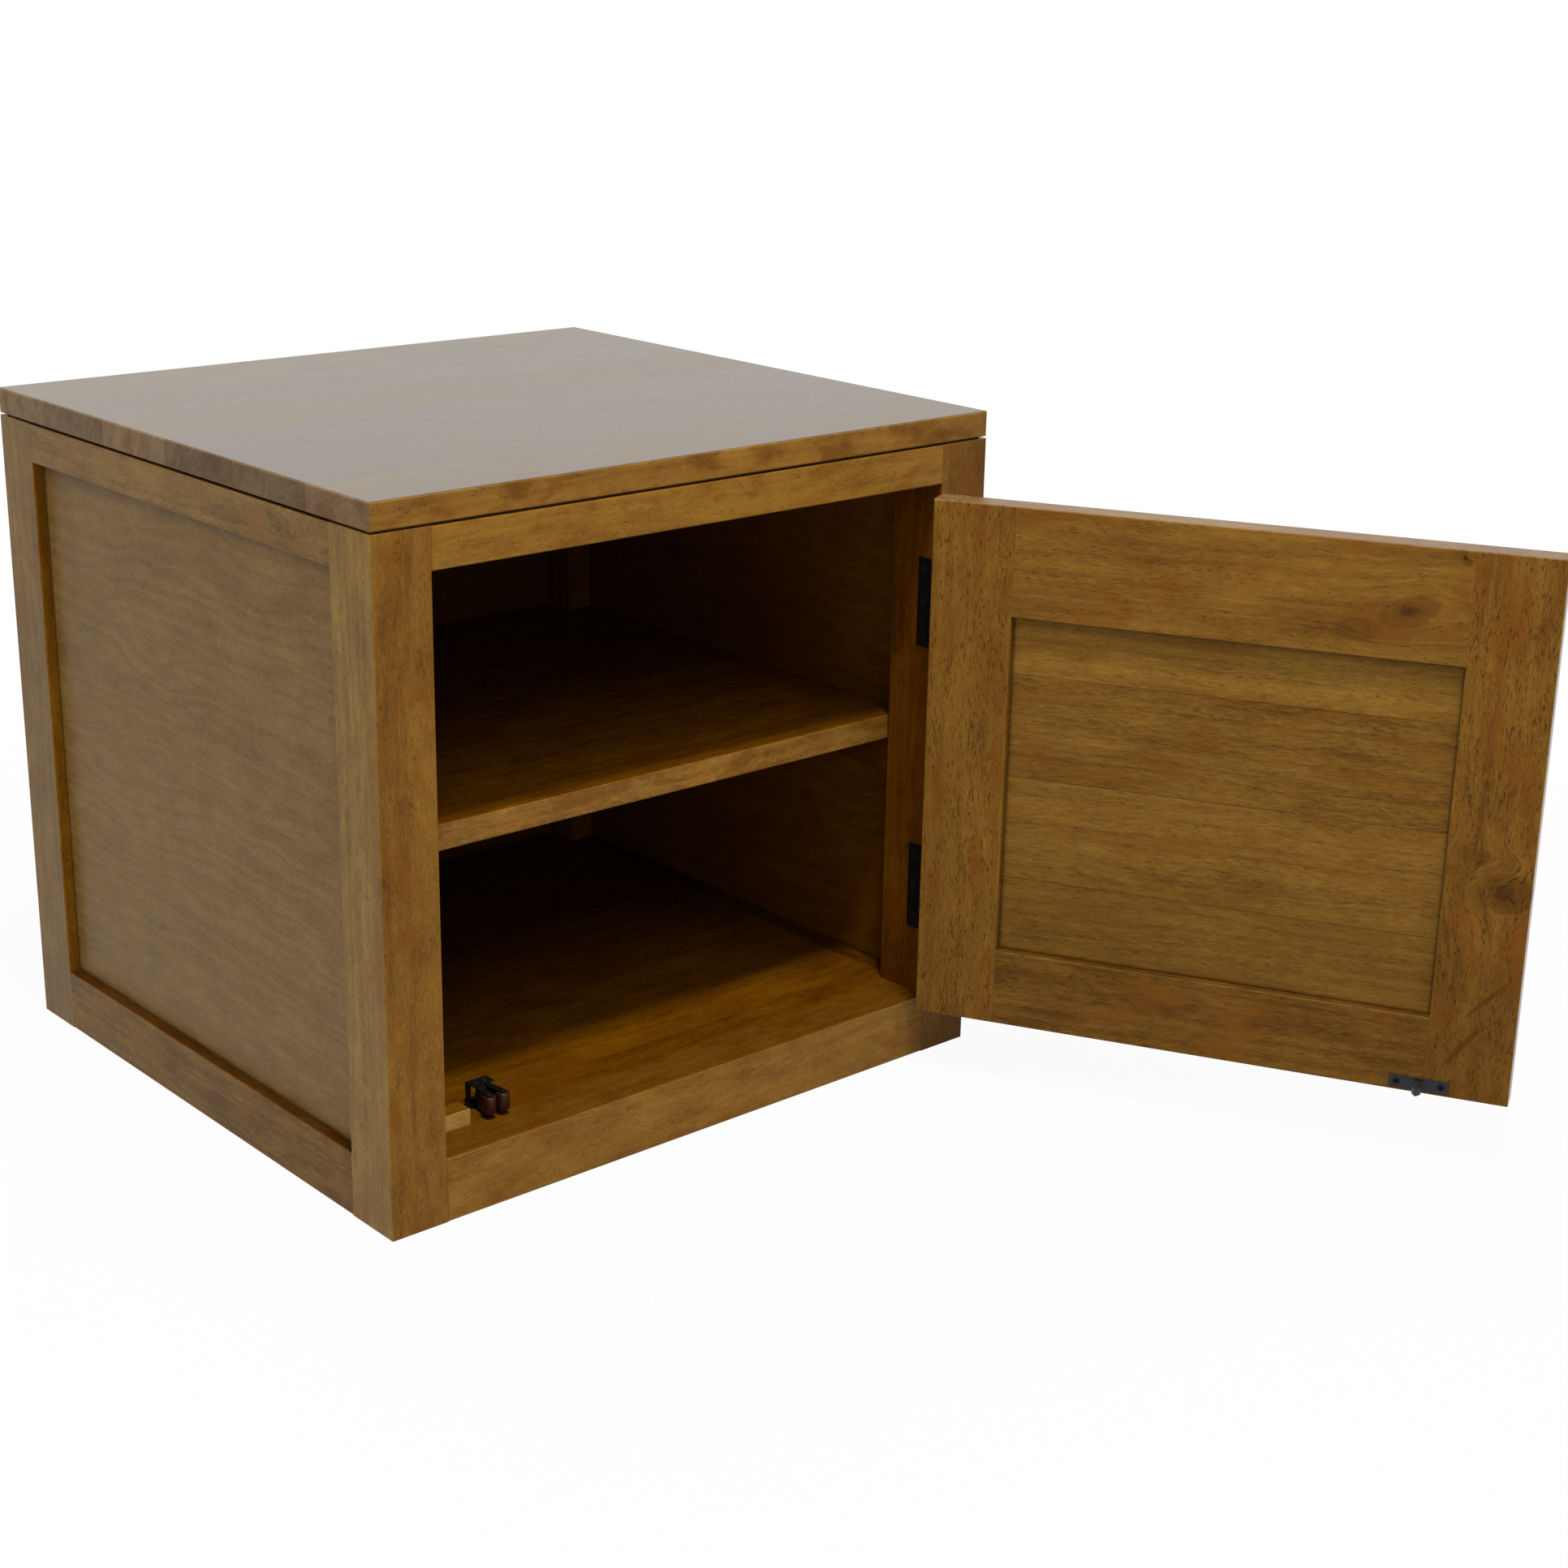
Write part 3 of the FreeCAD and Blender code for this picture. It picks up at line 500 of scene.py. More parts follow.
    def _edges(self) -> bpy.types.NodeTree:
        """How near a place on a block is to an arris, to its ends or to the frame round it.

        The middle one of the distances to the three pairs of faces is the distance to the
        nearest arris.  The frame's sight line runs a groove's depth inside the block's rim.

        Returns:
            The group.
        """
        inputs = ("Vector", "Half", "Arris Width", "Joint Width", "Groove Depth", "Rim Width")
        graph, given, sink = self._open("block_edges", inputs, ("Arris", "Joint", "Rim"))
        place, half, arris_width, joint_width, groove_depth, rim_shade_width = given
        inside = graph.split(graph.vector("SUBTRACT", half, graph.vector("ABSOLUTE", place)))
        low = graph.math("MINIMUM", inside[0], inside[1])
        high = graph.math("MAXIMUM", inside[0], inside[1])
        middle = graph.math("MAXIMUM", low, graph.math("MINIMUM", high, inside[2]))
        graph.fill(
            sink,
            Arris=graph.remap(middle, arris_width, 0.0),
            Joint=graph.remap(graph.math("ABSOLUTE", inside[0]), joint_width, 0.0),
            Rim=graph.remap(graph.math("SUBTRACT", low, groove_depth), rim_shade_width, 0.0),
        )
        return graph.tree

    def _wear(self) -> bpy.types.NodeTree:
        """Fine scratches, spots and slow change of a metal or plastic surface.

        Returns:
            The group.
        """
        graph, given, sink = self._open(
            "fine_wear", ("Vector", "Grit"), ("Scratches", "Spots", "Slow", "Height")
        )
        scaled = graph.vector("SCALE", *given)
        lines, spots = graph.noise(scaled, SCRATCHES), graph.noise(scaled, SPOTS)
        graph.fill(
            sink,
            Scratches=graph.remap(lines, *self.SCRATCH_SPAN),
            Spots=graph.remap(spots, *self.SPOT_SPAN),
            Slow=graph.noise(scaled, SLOW_CHANGE),
            Height=graph.math("ADD", graph.times(spots, self.SPOT_HEIGHT), lines),
        )
        return graph.tree


@dataclass(frozen=True)
class Knot:
    """A knot, or with no pull a dark vein or a broad patch of painted shade, in a board, placed as
    if the door were shut.
    """

    place: Point
    along: float
    across: float
    tilt: float = 0.0
    pull: float = 0.8
    body: float = 0.4
    core: float = 0.75

    def axes(self, turn: Matrix) -> tuple[Point, Point]:
        """The long and the short axis in a board's own axes, each over its half length.

        Args:
            turn: the turn from the table's axes to the board's.

        Returns:
            Both axes.
        """
        angle = math.radians(self.tilt)
        long_axis = turn @ Vector((-math.cos(angle), 0.0, math.sin(angle)))
        short_axis = turn @ Vector((math.sin(angle), 0.0, math.cos(angle)))
        return tuple(long_axis / self.along), tuple(short_axis / self.across)


@dataclass(frozen=True)
class BoardFrame:
    """A board's own axes: X along its fibres, Y across its width and Z through it."""

    turn: Matrix
    origin: Vector
    half: Point
    on_door: bool

    @classmethod
    def of(
        cls, node: bpy.types.Object, grain: Grain, on_door: bool, tenon: float
    ) -> "BoardFrame":
        """Measure a node's mesh in the axes of its grain.

        Args:
            node: the board's object.
            grain: the way its fibres and its width run.
            on_door: whether it stands open with the door.
            tenon: the length hidden in a mortise at each end.

        Returns:
            The board's frame, centred on its middle.
        """
        rows = grain.rows()
        if on_door:
            rows = rows @ Matrix.Rotation(-DOOR_OPEN, 3, "Z")
        points = np.empty(len(node.data.vertices) * 3, np.float32)
        node.data.vertices.foreach_get("co", points)
        local = points.reshape(-1, 3) @ np.array(rows).T
        low, high = local.min(0), local.max(0)
        half = (high - low) / 2 - np.array((tenon, 0.0, 0.0))
        return cls(rows, Vector((low + high) / 2), tuple(float(value) for value in half), on_door)

    def local(self, place: Point) -> Point:
        """Carry a point of the table, with its door shut, into the board's own axes.

        Args:
            place: the point.

        Returns:
            The same point from the board's middle.
        """
        if not self.on_door:
            return tuple(self.turn @ Vector(place) - self.origin)
        turned = self.turn @ Matrix.Rotation(DOOR_OPEN, 3, "Z")
        shut = Vector(place) - Vector(HINGE_LINE)
        return tuple(turned @ shut + self.turn @ Vector(HINGE_LINE) - self.origin)


@dataclass(frozen=True)
class Cut:
    """Which part of the tree a board is cut from, so that no two boards look the same."""

    seed: int
    step: Point = (0.37, 0.053, 0.031)
    pith_start: Point = (0.0, 0.02, -0.09)
    pith_step: Point = (0.0, 0.01, -0.02)

    def shift(self) -> Point:
        """How far the wood is slid along, across and through the board."""
        counts = (self.seed, self.seed % 7, self.seed % 5)
        return tuple(step * count for step, count in zip(self.step, counts))

    def pith(self) -> Point:
        """Where the middle of the tree runs, square to the fibres."""
        counts = zip(self.pith_start, self.pith_step, (0, self.seed % 4, self.seed % 3))
        return tuple(start + step * count for start, step, count in counts)


@dataclass(frozen=True)
class Face:
    """The face of a board that looks one way, with a tone, lacquer and dark flames of its own."""

    side: Point
    middle: Colour
    lacquer: float = 0.0
    flame: float = 0.0
    fade: Span = (0.0006, 0.0002)

    def mask(self, graph: Graph, place: Socket, turn: Matrix, half: Point) -> Socket:
        """Mark the face by how far a place reaches along its direction.

        Args:
            graph: the material's graph.
            place: the place in the board's own axes.
            turn: the turn from the table's axes to the board's.
            half: half the board's size.

        Returns:
            The mask's socket, 1 on the face.
        """
        axis = turn @ Vector(self.side)
        reach = sum(abs(part) * size for part, size in zip(axis, half))
        depth = graph.vector("DOT_PRODUCT", place, tuple(axis))
        return graph.remap(depth, *(reach - inset for inset in self.fade))


@dataclass(frozen=True)
class Wood:
    """Stained and lacquered hardwood with short dark pores."""

    middle: Colour
    pore: Colour = (0.026, 0.010, 0.001)
    # What a middle tone is multiplied by for late wood, early wood, red patches and flames
    dark_gains: Colour = (0.52, 0.42, 0.3)
    light_gains: Colour = (1.42, 1.55, 1.6)
    red_gains: Colour = (0.93, 0.74, 0.5)
    flame_gains: Colour = (0.5, 0.36, 0.22)
    # How wide a growth ring is, and how far it wanders
    ring_width: float = 0.009
    waver: float = 0.024
    # How much each layer of the figure changes the tone, and how the figure is drawn out
    ring_share: float = -0.14
    band_share: float = 0.35
    fleck_share: float = 1.15
    cloud_share: float = 0.95
    red_share: float = 0.5
    figure: Point = (1.0, 1.0, 1.0)
    # How many pores there are, how large and how dark
    pore_share: float = 0.1
    pore_size: float = 1.0
    pore_depth: float = 0.55
    # Boards glued edge to edge: their width, the first one's start, tones and dark seams
    board_width: float = 0.0
    board_start: float = 0.0
    tint_share: float = 0.3
    seam_depth: float = 0.5
    # How pale an arris is, as worn stain and partly as a painted highlight; how dark joints and
    # the rings of knots are; and the painted shade along the frame's sight lines
    arris: float = 0.1
    arris_width: float = 0.0022
    joint_depth: float = 0.6
    joint_width: float = 0.0005
    rim_shade_depth: float = 0.75
    rim_shade_width: float = 0.0
    groove_depth: float = 0.0074
    knot_rings: float = 0.3
    # The lacquer's roughness over dark and over pale grain, its reflections and its relief
    gloss: Span = (0.28, 0.38)
    gloss_levels: Span = (0.3, 0.7)
    coat_roughness: float = 0.3
    specular: float = 0.065
    relief: float = 0.14
    relief_depth: float = 0.0004

    @staticmethod
    def tinted(colour: Colour, gains: Colour) -> Colour:
        """A colour with each of its parts times a gain."""
        return tuple(part * gain for part, gain in zip(colour, gains))

    def late_and_early(self, middle: Colour) -> tuple[Colour, Colour]:
        """The tones of dark late wood and of pale early wood round a middle tone."""
        return self.tinted(middle, self.dark_gains), self.tinted(middle, self.light_gains)

    def tones(self, graph: Graph, middle: Colour, grain: bpy.types.NodeOutputs) -> Socket:
        """Colour the grain from dark late wood over a middle tone to pale early wood.

        Args:
            graph: the material's graph.
            middle: the middle tone.
            grain: the grain's level, 0.5 for the middle tone, and where the stain took redder.

        Returns:
            The colour's socket.
        """
        dark, light = self.late_and_early(middle)
        colour = graph.ramp(grain["Level"], ((0.1, dark), (0.5, middle), (0.9, light)))
        return graph.lay(colour, self.tinted(middle, self.red_gains), grain["Red"], self.red_share)

    def material(
        self, effects: Effects, board: "Board", frame: BoardFrame, cut: Cut
    ) -> bpy.types.Material:
        """The finish of one board.

        Args:
            effects: the shared node groups.
            board: the board.
            frame: the board's own axes and size.
            cut: which part of the tree the board is cut from.

        Returns:
            The new material.
        """
        material, graph = blank_material(board.node + "_wood")
        mapping = graph.add("Mapping", graph.add("TexCoord").outputs["Object"])
        mapping.inputs["Rotation"].default_value = frame.turn.to_euler("XYZ")
        mapping.inputs["Location"].default_value = -frame.origin
        centred = mapping.outputs[0]
        place, knots = self._bend(effects, graph, centred, board, frame)
        grain, seam = self._figure(effects, graph, place, board, cut)
        colour, lacquer = self._faces(graph, centred, board, frame, grain)
        dark, light = self.late_and_early(self.middle)
        # A knot's body darkens the wood; a patch of painted shade is a knot with only a body
        for knot, found in zip(board.knots, knots):
            marks = graph.math("MULTIPLY_ADD", found["Rings"], self.knot_rings, found["Body"])
            colour = graph.lay(colour, dark, marks, knot.body)
            colour = graph.lay(colour, self.pore, found["Core"], knot.core)
        colour = graph.lay(colour, self.pore, grain["Pores"], self.pore_depth)
        edges = effects.place(
            graph,
            "edges",
            Vector=centred,
            Half=frame.half,
            Arris_Width=self.arris_width,
            Joint_Width=self.joint_width,
            Groove_Depth=self.groove_depth,
            Rim_Width=self.rim_shade_width,
        )
        # Pale arrises: worn stain, and partly a painted highlight along the edges
        colour = graph.lay(colour, light, edges["Arris"], self.arris)
        if self.board_width:
            colour = graph.lay(colour, self.pore, seam, self.seam_depth)
        if board.tenon:
            colour = graph.lay(colour, self.pore, edges["Joint"], self.joint_depth)
        # Painted shade along the sight line where a panel meets its frame
        if self.rim_shade_width:
            colour = graph.lay(colour, self.pore, edges["Rim"], self.rim_shade_depth)
        graph.close(
            grain["Height"],
            self.relief,
            self.relief_depth,
            Base_Color=colour,
            Roughness=graph.remap(grain["Level"], *self.gloss_levels, *self.gloss),
            Coat_Weight=lacquer,
            Coat_Roughness=self.coat_roughness,
            Specular_IOR_Level=self.specular,
        )
        return material

    @staticmethod
    def _bend(
        effects: Effects, graph: Graph, place: Socket, board: "Board", frame: BoardFrame
    ) -> tuple[Socket, list[bpy.types.NodeOutputs]]:
        """Lead the grain round the board's knots.

        Args:
            effects: the shared node groups.
            graph: the material's graph.
            place: the place in the board's own axes.
            board: the board.
            frame: the board's own axes.

        Returns:
            The bent place and the knots' outputs.
        """
        knots = []
        for knot in board.knots:
            long_axis, short_axis = knot.axes(board.grain.rows())
            knots.append(effects.place(
                graph,
                "knot",
                Vector=place,
                Centre=frame.local(knot.place),
                Long_Axis=long_axis,
                Short_Axis=short_axis,
                Pull=knot.pull,
            ))
            place = knots[-1]["Vector"]
        return place, knots

    def _figure(
        self, effects: Effects, graph: Graph, place: Socket, board: "Board", cut: Cut
    ) -> tuple[bpy.types.NodeOutputs, Value]:
        """Draw the wood's figure, on one board or on boards glued edge to edge.

        Args:
            effects: the shared node groups.
            graph: the material's graph.
            place: the place in the board's own axes, led round its knots.
            board: the board.
            cut: which part of the tree the board is cut from.

        Returns:
            The grain's outputs and the mask of the seams.
        """
        shift = cut.shift()
        place = graph.vector("ADD", place, shift)
        tone: Value = board.tone
        seam: Value = 0.0
        if self.board_width:
            boards = effects.place(
                graph,
                "boards",
                Vector=place,
                Width=self.board_width,
                Start=self.board_start - shift[1] + 10 * self.board_width,
                Seed=float(cut.seed),
            )
            place, seam = boards["Vector"], boards["Seam"]
            tone = graph.weigh(board.tone, (boards["Tint"], self.tint_share))
        grain = effects.place(
            graph,
            "grain",
            Vector=graph.vector("MULTIPLY", place, self.figure),
            Pith=cut.pith(),
            Ring_Width=self.ring_width,
            Waver=self.waver,
            Tone=tone,
            Ring_Share=self.ring_share,
            Band_Share=self.band_share,
            Fleck_Share=self.fleck_share,
            Cloud_Share=self.cloud_share,
            Pore_Share=self.pore_share,
            Pore_Size=self.pore_size,
        )
        return grain, seam

    def _faces(
        self,
        graph: Graph,
        centred: Socket,
        board: "Board",
        frame: BoardFrame,
        grain: bpy.types.NodeOutputs,
    ) -> tuple[Socket, Value]:
        """Colour the board, and each of its faces that has a tone of its own.

        Args:
            graph: the material's graph.
            centred: the place in the board's own axes.
            board: the board.
            frame: the board's own axes and size.
            grain: the grain's outputs.

        Returns:
            The colour, and how much lacquer lies on it.
        """
        colour = self.tones(graph, self.middle, grain)
        lacquer: Value = 0.0
        for face in board.faces:
            on_face = face.mask(graph, centred, board.grain.rows(), frame.half)
            tones = self.tones(graph, face.middle, grain)
            if face.flame:
                flames = self.tinted(face.middle, self.flame_gains)
                tones = graph.lay(tones, flames, grain["Red"], face.flame)
            colour = graph.blend(on_face, colour, tones)
            if face.lacquer:
                lacquer = graph.math("MULTIPLY_ADD", on_face, face.lacquer, lacquer)
        return colour, lacquer


@dataclass(frozen=True)
class HardFinish:
    """Metal, or a hard plastic, with fine wear."""

    name: str
    colour: Colour
    worn: Colour
    metallic: float
    gloss: Span
    specular: float = 0.5
    # Cells of wear in a metre, and how far marks take the worn colour
    grit: float = 900.0
    wear: float = 0.45
    # Where the slow change begins and is full, and how much of the marks it takes away
    slow_levels: Span = (0.3, 0.7)
    shading: Span = (0.0, 0.4)
    relief: float = 0.12
    relief_depth: float = 0.0001

    def material(self, effects: Effects) -> bpy.types.Material:
        """The finish, made once and kept under its name.

        Args:
            effects: the shared node groups.

        Returns:
            The material.
        """
        name = self.name + "_finish"
        found = bpy.data.materials.get(name)
        if found:
            return found
        material, graph = blank_material(name)
        coordinates = graph.add("TexCoord").outputs["Object"]
        wear = effects.place(graph, "wear", Vector=coordinates, Grit=self.grit)
        marks = graph.math("MAXIMUM", wear["Scratches"], wear["Spots"])
        colour = graph.lay(self.colour, self.worn, marks, self.wear)
        shaded = graph.remap(wear["Slow"], *self.slow_levels, *self.shading)
        graph.close(
            wear["Height"],
            self.relief,
            self.relief_depth,
            Base_Color=graph.blend(shaded, colour, self.colour),
            Roughness=graph.remap(wear["Slow"], *self.slow_levels, *self.gloss),
            Metallic=self.metallic,
            Specular_IOR_Level=self.specular,
        )
        return material


FRONT_WOOD = Wood(
    (0.168, 0.075, 0.0105),
    figure=(1.5, 1.0, 1.0), pore_share=0.115, pore_size=1.2, pore_depth=0.5, red_share=0.8,
)
# Painted shade: the cleats inside the cabinet are darkened for the shade they stand in
CLEAT_WOOD_SHADED = Wood((0.074, 0.022, 0.0019))

# Middle tones of single faces, several of them painted light or painted shade as noted
# Painted shade: the slab's top is darkened against the strong light of the overhead lamps
SLAB_TOP_SHADED: Colour = (0.058, 0.0360, 0.0135)
SLAB_FRONT: Colour = (0.180, 0.082, 0.0125)
SLAB_END: Colour = (0.140, 0.077, 0.031)
OUTER: Colour = (0.197, 0.111, 0.024)
OUTER_REAR: Colour = (0.160, 0.089, 0.0235)
# Painted shade: the foot rails' outer faces are darker and more saturated, as in shade near the
# floor
OUTER_FOOT_SHADED: Colour = (0.192, 0.101, 0.010)
PANEL_OUTER: Colour = (0.168, 0.094, 0.0265)
# Painted shade: the faces of the front posts and side panels that look into the cabinet are
# darkened for the shade inside it
POST_INNER_SHADED: Colour = (0.133, 0.044, 0.002)
PANEL_INNER_SHADED: Colour = (0.128, 0.044, 0.0012)
SHADED: Colour = (0.076, 0.028, 0.0017)
# Painted shade: the rear posts' front faces, in the side recesses and inside the cabinet, are
# darkened
RECESS_SHADED: Colour = (0.155, 0.062, 0.004)
# Painted light: the front faces of the shelf and the stop block are lighter copies of their darker
# wood, as if lit
SHELF_FRONT_LIT: Colour = (0.225, 0.106, 0.018)
BLOCK_FRONT_LIT: Colour = (0.39, 0.225, 0.058)
DOOR_TOP: Colour = (0.135, 0.078, 0.032)
# Partly painted sheen: the door's free edge is a lighter, greyer copy of its wood, over its real
# lacquer
DOOR_EDGE_SHEEN: Colour = (0.24, 0.155, 0.072)
# Painted shade: the top face of the door's bottom rail is darkened against the strong light
# falling on it
LEDGE_SHADED: Colour = (0.095, 0.045, 0.008)

BLACK_IRON = HardFinish(
    "black_iron", (0.004, 0.004, 0.004), (0.03, 0.028, 0.025), 0.0, (0.34, 0.5), 0.12
)
CATCH_BLACK = HardFinish(
    "catch_black_steel", (0.004, 0.004, 0.003), (0.02, 0.022, 0.02), 0.0, (0.2, 0.34), 0.2
)
SCREW_IRON = HardFinish(
    "screw_iron", (0.016, 0.016, 0.014), (0.09, 0.09, 0.075), 0.5, (0.28, 0.4), 0.4
)
DARK_STEEL = HardFinish(
    "strike_steel", (0.012, 0.013, 0.016), (0.04, 0.044, 0.052), 0.0, (0.32, 0.44), 0.22
)
PIN_STEEL = HardFinish(
    "catch_pin_steel", (0.30, 0.30, 0.29), (0.16, 0.16, 0.16), 1.0, (0.26, 0.4)
)
YELLOW_ZINC = HardFinish(
    "yellow_zinc", (0.52, 0.45, 0.28), (0.30, 0.26, 0.2), 1.0, (0.3, 0.45)
)
ROLLER_PLASTIC = HardFinish(
    "roller_plastic", (0.028, 0.0055, 0.0035), (0.05, 0.018, 0.012), 0.0, (0.24, 0.34), 0.28
)


@dataclass(frozen=True)
class Board:
    """One board of an assembly: which node it is and how its wood lies."""

    node: str
    grain: Grain
    wood: Wood
    tone: float = 0.0
    tenon: float = 0.0
    faces: tuple[Face, ...] = ()
    knots: tuple[Knot, ...] = ()

    def dress(
        self, node: bpy.types.Object, effects: Effects, cut: Cut, on_door: bool
    ) -> None:
        """Measure the board and give it its own piece of the wood."""
        frame = BoardFrame.of(node, self.grain, on_door, self.tenon)
        dress(node, self.wood.material(effects, self, frame, cut))


def dress(node: bpy.types.Object, material: bpy.types.Material) -> None:
    """Give a node one material in all its slots, and report it.

    Args:
        node: the node's object, or a new piece.
        material: the material.
    """
    if not node.material_slots:
        node.data.materials.append(material)
    for slot in node.material_slots:
        slot.material = material
    LOG.info("dressed %s with %s", node.name, material.name)


@dataclass
class Woodwork:
    """A sub-assembly with boards, each of them the next cut from the tree."""

    first_cut: int
    on_door: bool = False

    def boards(self) -> list[Board]:
        """List the boards, in the order of their cuts."""
        raise NotImplementedError

    def dress(self, nodes: dict[str, bpy.types.Object], effects: Effects) -> None:
        """Dress every piece of the sub-assembly.

        Args:
            nodes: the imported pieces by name.
            effects: the shared node groups.
        """
        for seed, board in enumerate(self.boards(), self.first_cut):
            board.dress(nodes[board.node], effects, Cut(seed), self.on_door)


class MeshMaker:
    """Turns grids of points into one mesh object."""

    # Points nearer to each other than this are one point
    DOUBLES = 1e-7

    def __init__(self, name: str) -> None:
        """Start an empty piece."""
        self.name = name
        self.points: list[np.ndarray] = []
        self.faces: list[np.ndarray] = []
        self.count = 0

    def grid(
        self, points: np.ndarray, wrap_rows: bool = False, wrap_columns: bool = False
    ) -> None:
        """Add a grid of points as quads, whose rows and columns may close on themselves.

        Args:
            points: rows by columns by 3.
            wrap_rows: whether the last row joins the first one.
            wrap_columns: whether the last column joins the first one.
        """
        rows, columns = points.shape[:2]
        index = np.arange(rows * columns).reshape(rows, columns) + self.count
        if wrap_rows:
            index = np.vstack((index, index[:1]))
        if wrap_columns:
            index = np.hstack((index, index[:, :1]))
        quads = np.stack((index[:-1, :-1], index[1:, :-1], index[1:, 1:], index[:-1, 1:]), -1)
        self.points.append(points.reshape(-1, 3))
        self.faces.append(quads.reshape(-1, 4))
        self.count += rows * columns

    def finish(self, smooth_angle: float = 40.0) -> bpy.types.Object:
        """Make the object, with its doubles merged and its faces pointing outwards.

        Args:
            smooth_angle: edges sharper than this many degrees stay crisp.

        Returns:
            The new object, at the origin.
        """
        mesh = bpy.data.meshes.new(self.name)
        mesh.from_pydata(np.vstack(self.points).tolist(), [], np.vstack(self.faces).tolist())
        work = bmesh.new()
        work.from_mesh(mesh)
        bmesh.ops.remove_doubles(work, verts=work.verts, dist=self.DOUBLES)
        bmesh.ops.recalc_face_normals(work, faces=work.faces)
        work.to_mesh(mesh)
        work.free()
        mesh.shade_smooth()
        mesh.set_sharp_from_angle(angle=math.radians(smooth_angle))
        piece = bpy.data.objects.new(self.name, mesh)
        bpy.context.scene.collection.objects.link(piece)
        return piece


def turned(profile: np.ndarray, foot: Point, segments: int = 48) -> np.ndarray:
    """A shape turned about an upright axis.

    At turn t and profile place s the point is foot + (r(s) cos t, r(s) sin t, z(s)).

    Args:
        profile: radius and height pairs.
        foot: the axis' foot.
        segments: how many steps one turn has.

    Returns:
        A grid of points, turns by profile places.
    """
    angle = np.linspace(0.0, 2 * math.pi, segments, endpoint=False)[:, None]
    radius, height = profile[:, 0][None], profile[:, 1][None]
    points = np.stack((radius * np.cos(angle), radius * np.sin(angle), height + 0 * angle), -1)
    return points + np.array(foot)


def rounded_rims(radius: float, low: float, high: float, rim: Span, steps: int = 6) -> np.ndarray:
    """The profile of a round piece whose ends draw in by a quarter of an ellipse.

    With w and h the rim's width and height and a from 0 to 90 degrees, the lower rim is
    (radius - w + w sin a, low + h - h cos a) and the upper one is
    (radius - w + w cos a, high - h + h sin a).

    Args:
        radius: outer radius.
        low: lowest height.
        high: highest height.
        rim: the rims' width and height.
        steps: how many steps one rim has.

    Returns:
        Radius and height pairs from the lower end to the upper one.
    """
    width, height = rim
    turn = np.linspace(0.0, math.pi / 2, steps + 1)
    inner = radius - width
    lower = np.column_stack((inner + width * np.sin(turn), low + height - height * np.cos(turn)))
    upper = np.column_stack((inner + width * np.cos(turn), high - height + height * np.sin(turn)))
    return np.vstack((lower, upper))


def tube(path: np.ndarray, radius: float, sides: int = 10) -> np.ndarray:
    """A round wire along a path.

    At each path point the section is radius (cos a n + sin a b), where n and b are square
    to the path's direction.

    Args:
        path: the wire's middle line.
        radius: the wire's radius.
        sides: points round the section.

    Returns:
        A grid of points, path places by sides, with both ends drawn in to a point.
    """
    direction = np.gradient(path, axis=0)
    direction /= np.linalg.norm(direction, axis=1, keepdims=True)
    normal = np.cross(direction, np.array((0.0, 0.0, 1.0)))
    normal /= np.linalg.norm(normal, axis=1, keepdims=True)
    other = np.cross(direction, normal)
    angle = np.linspace(0.0, 2 * math.pi, sides, endpoint=False)[None, :, None]
    section = np.cos(angle) * normal[:, None] + np.sin(angle) * other[:, None]
    rings = path[:, None] + radius * section
    first = np.repeat(path[:1, None], sides, 1)
    last = np.repeat(path[-1:, None], sides, 1)
    return np.concatenate((first, rings, last))


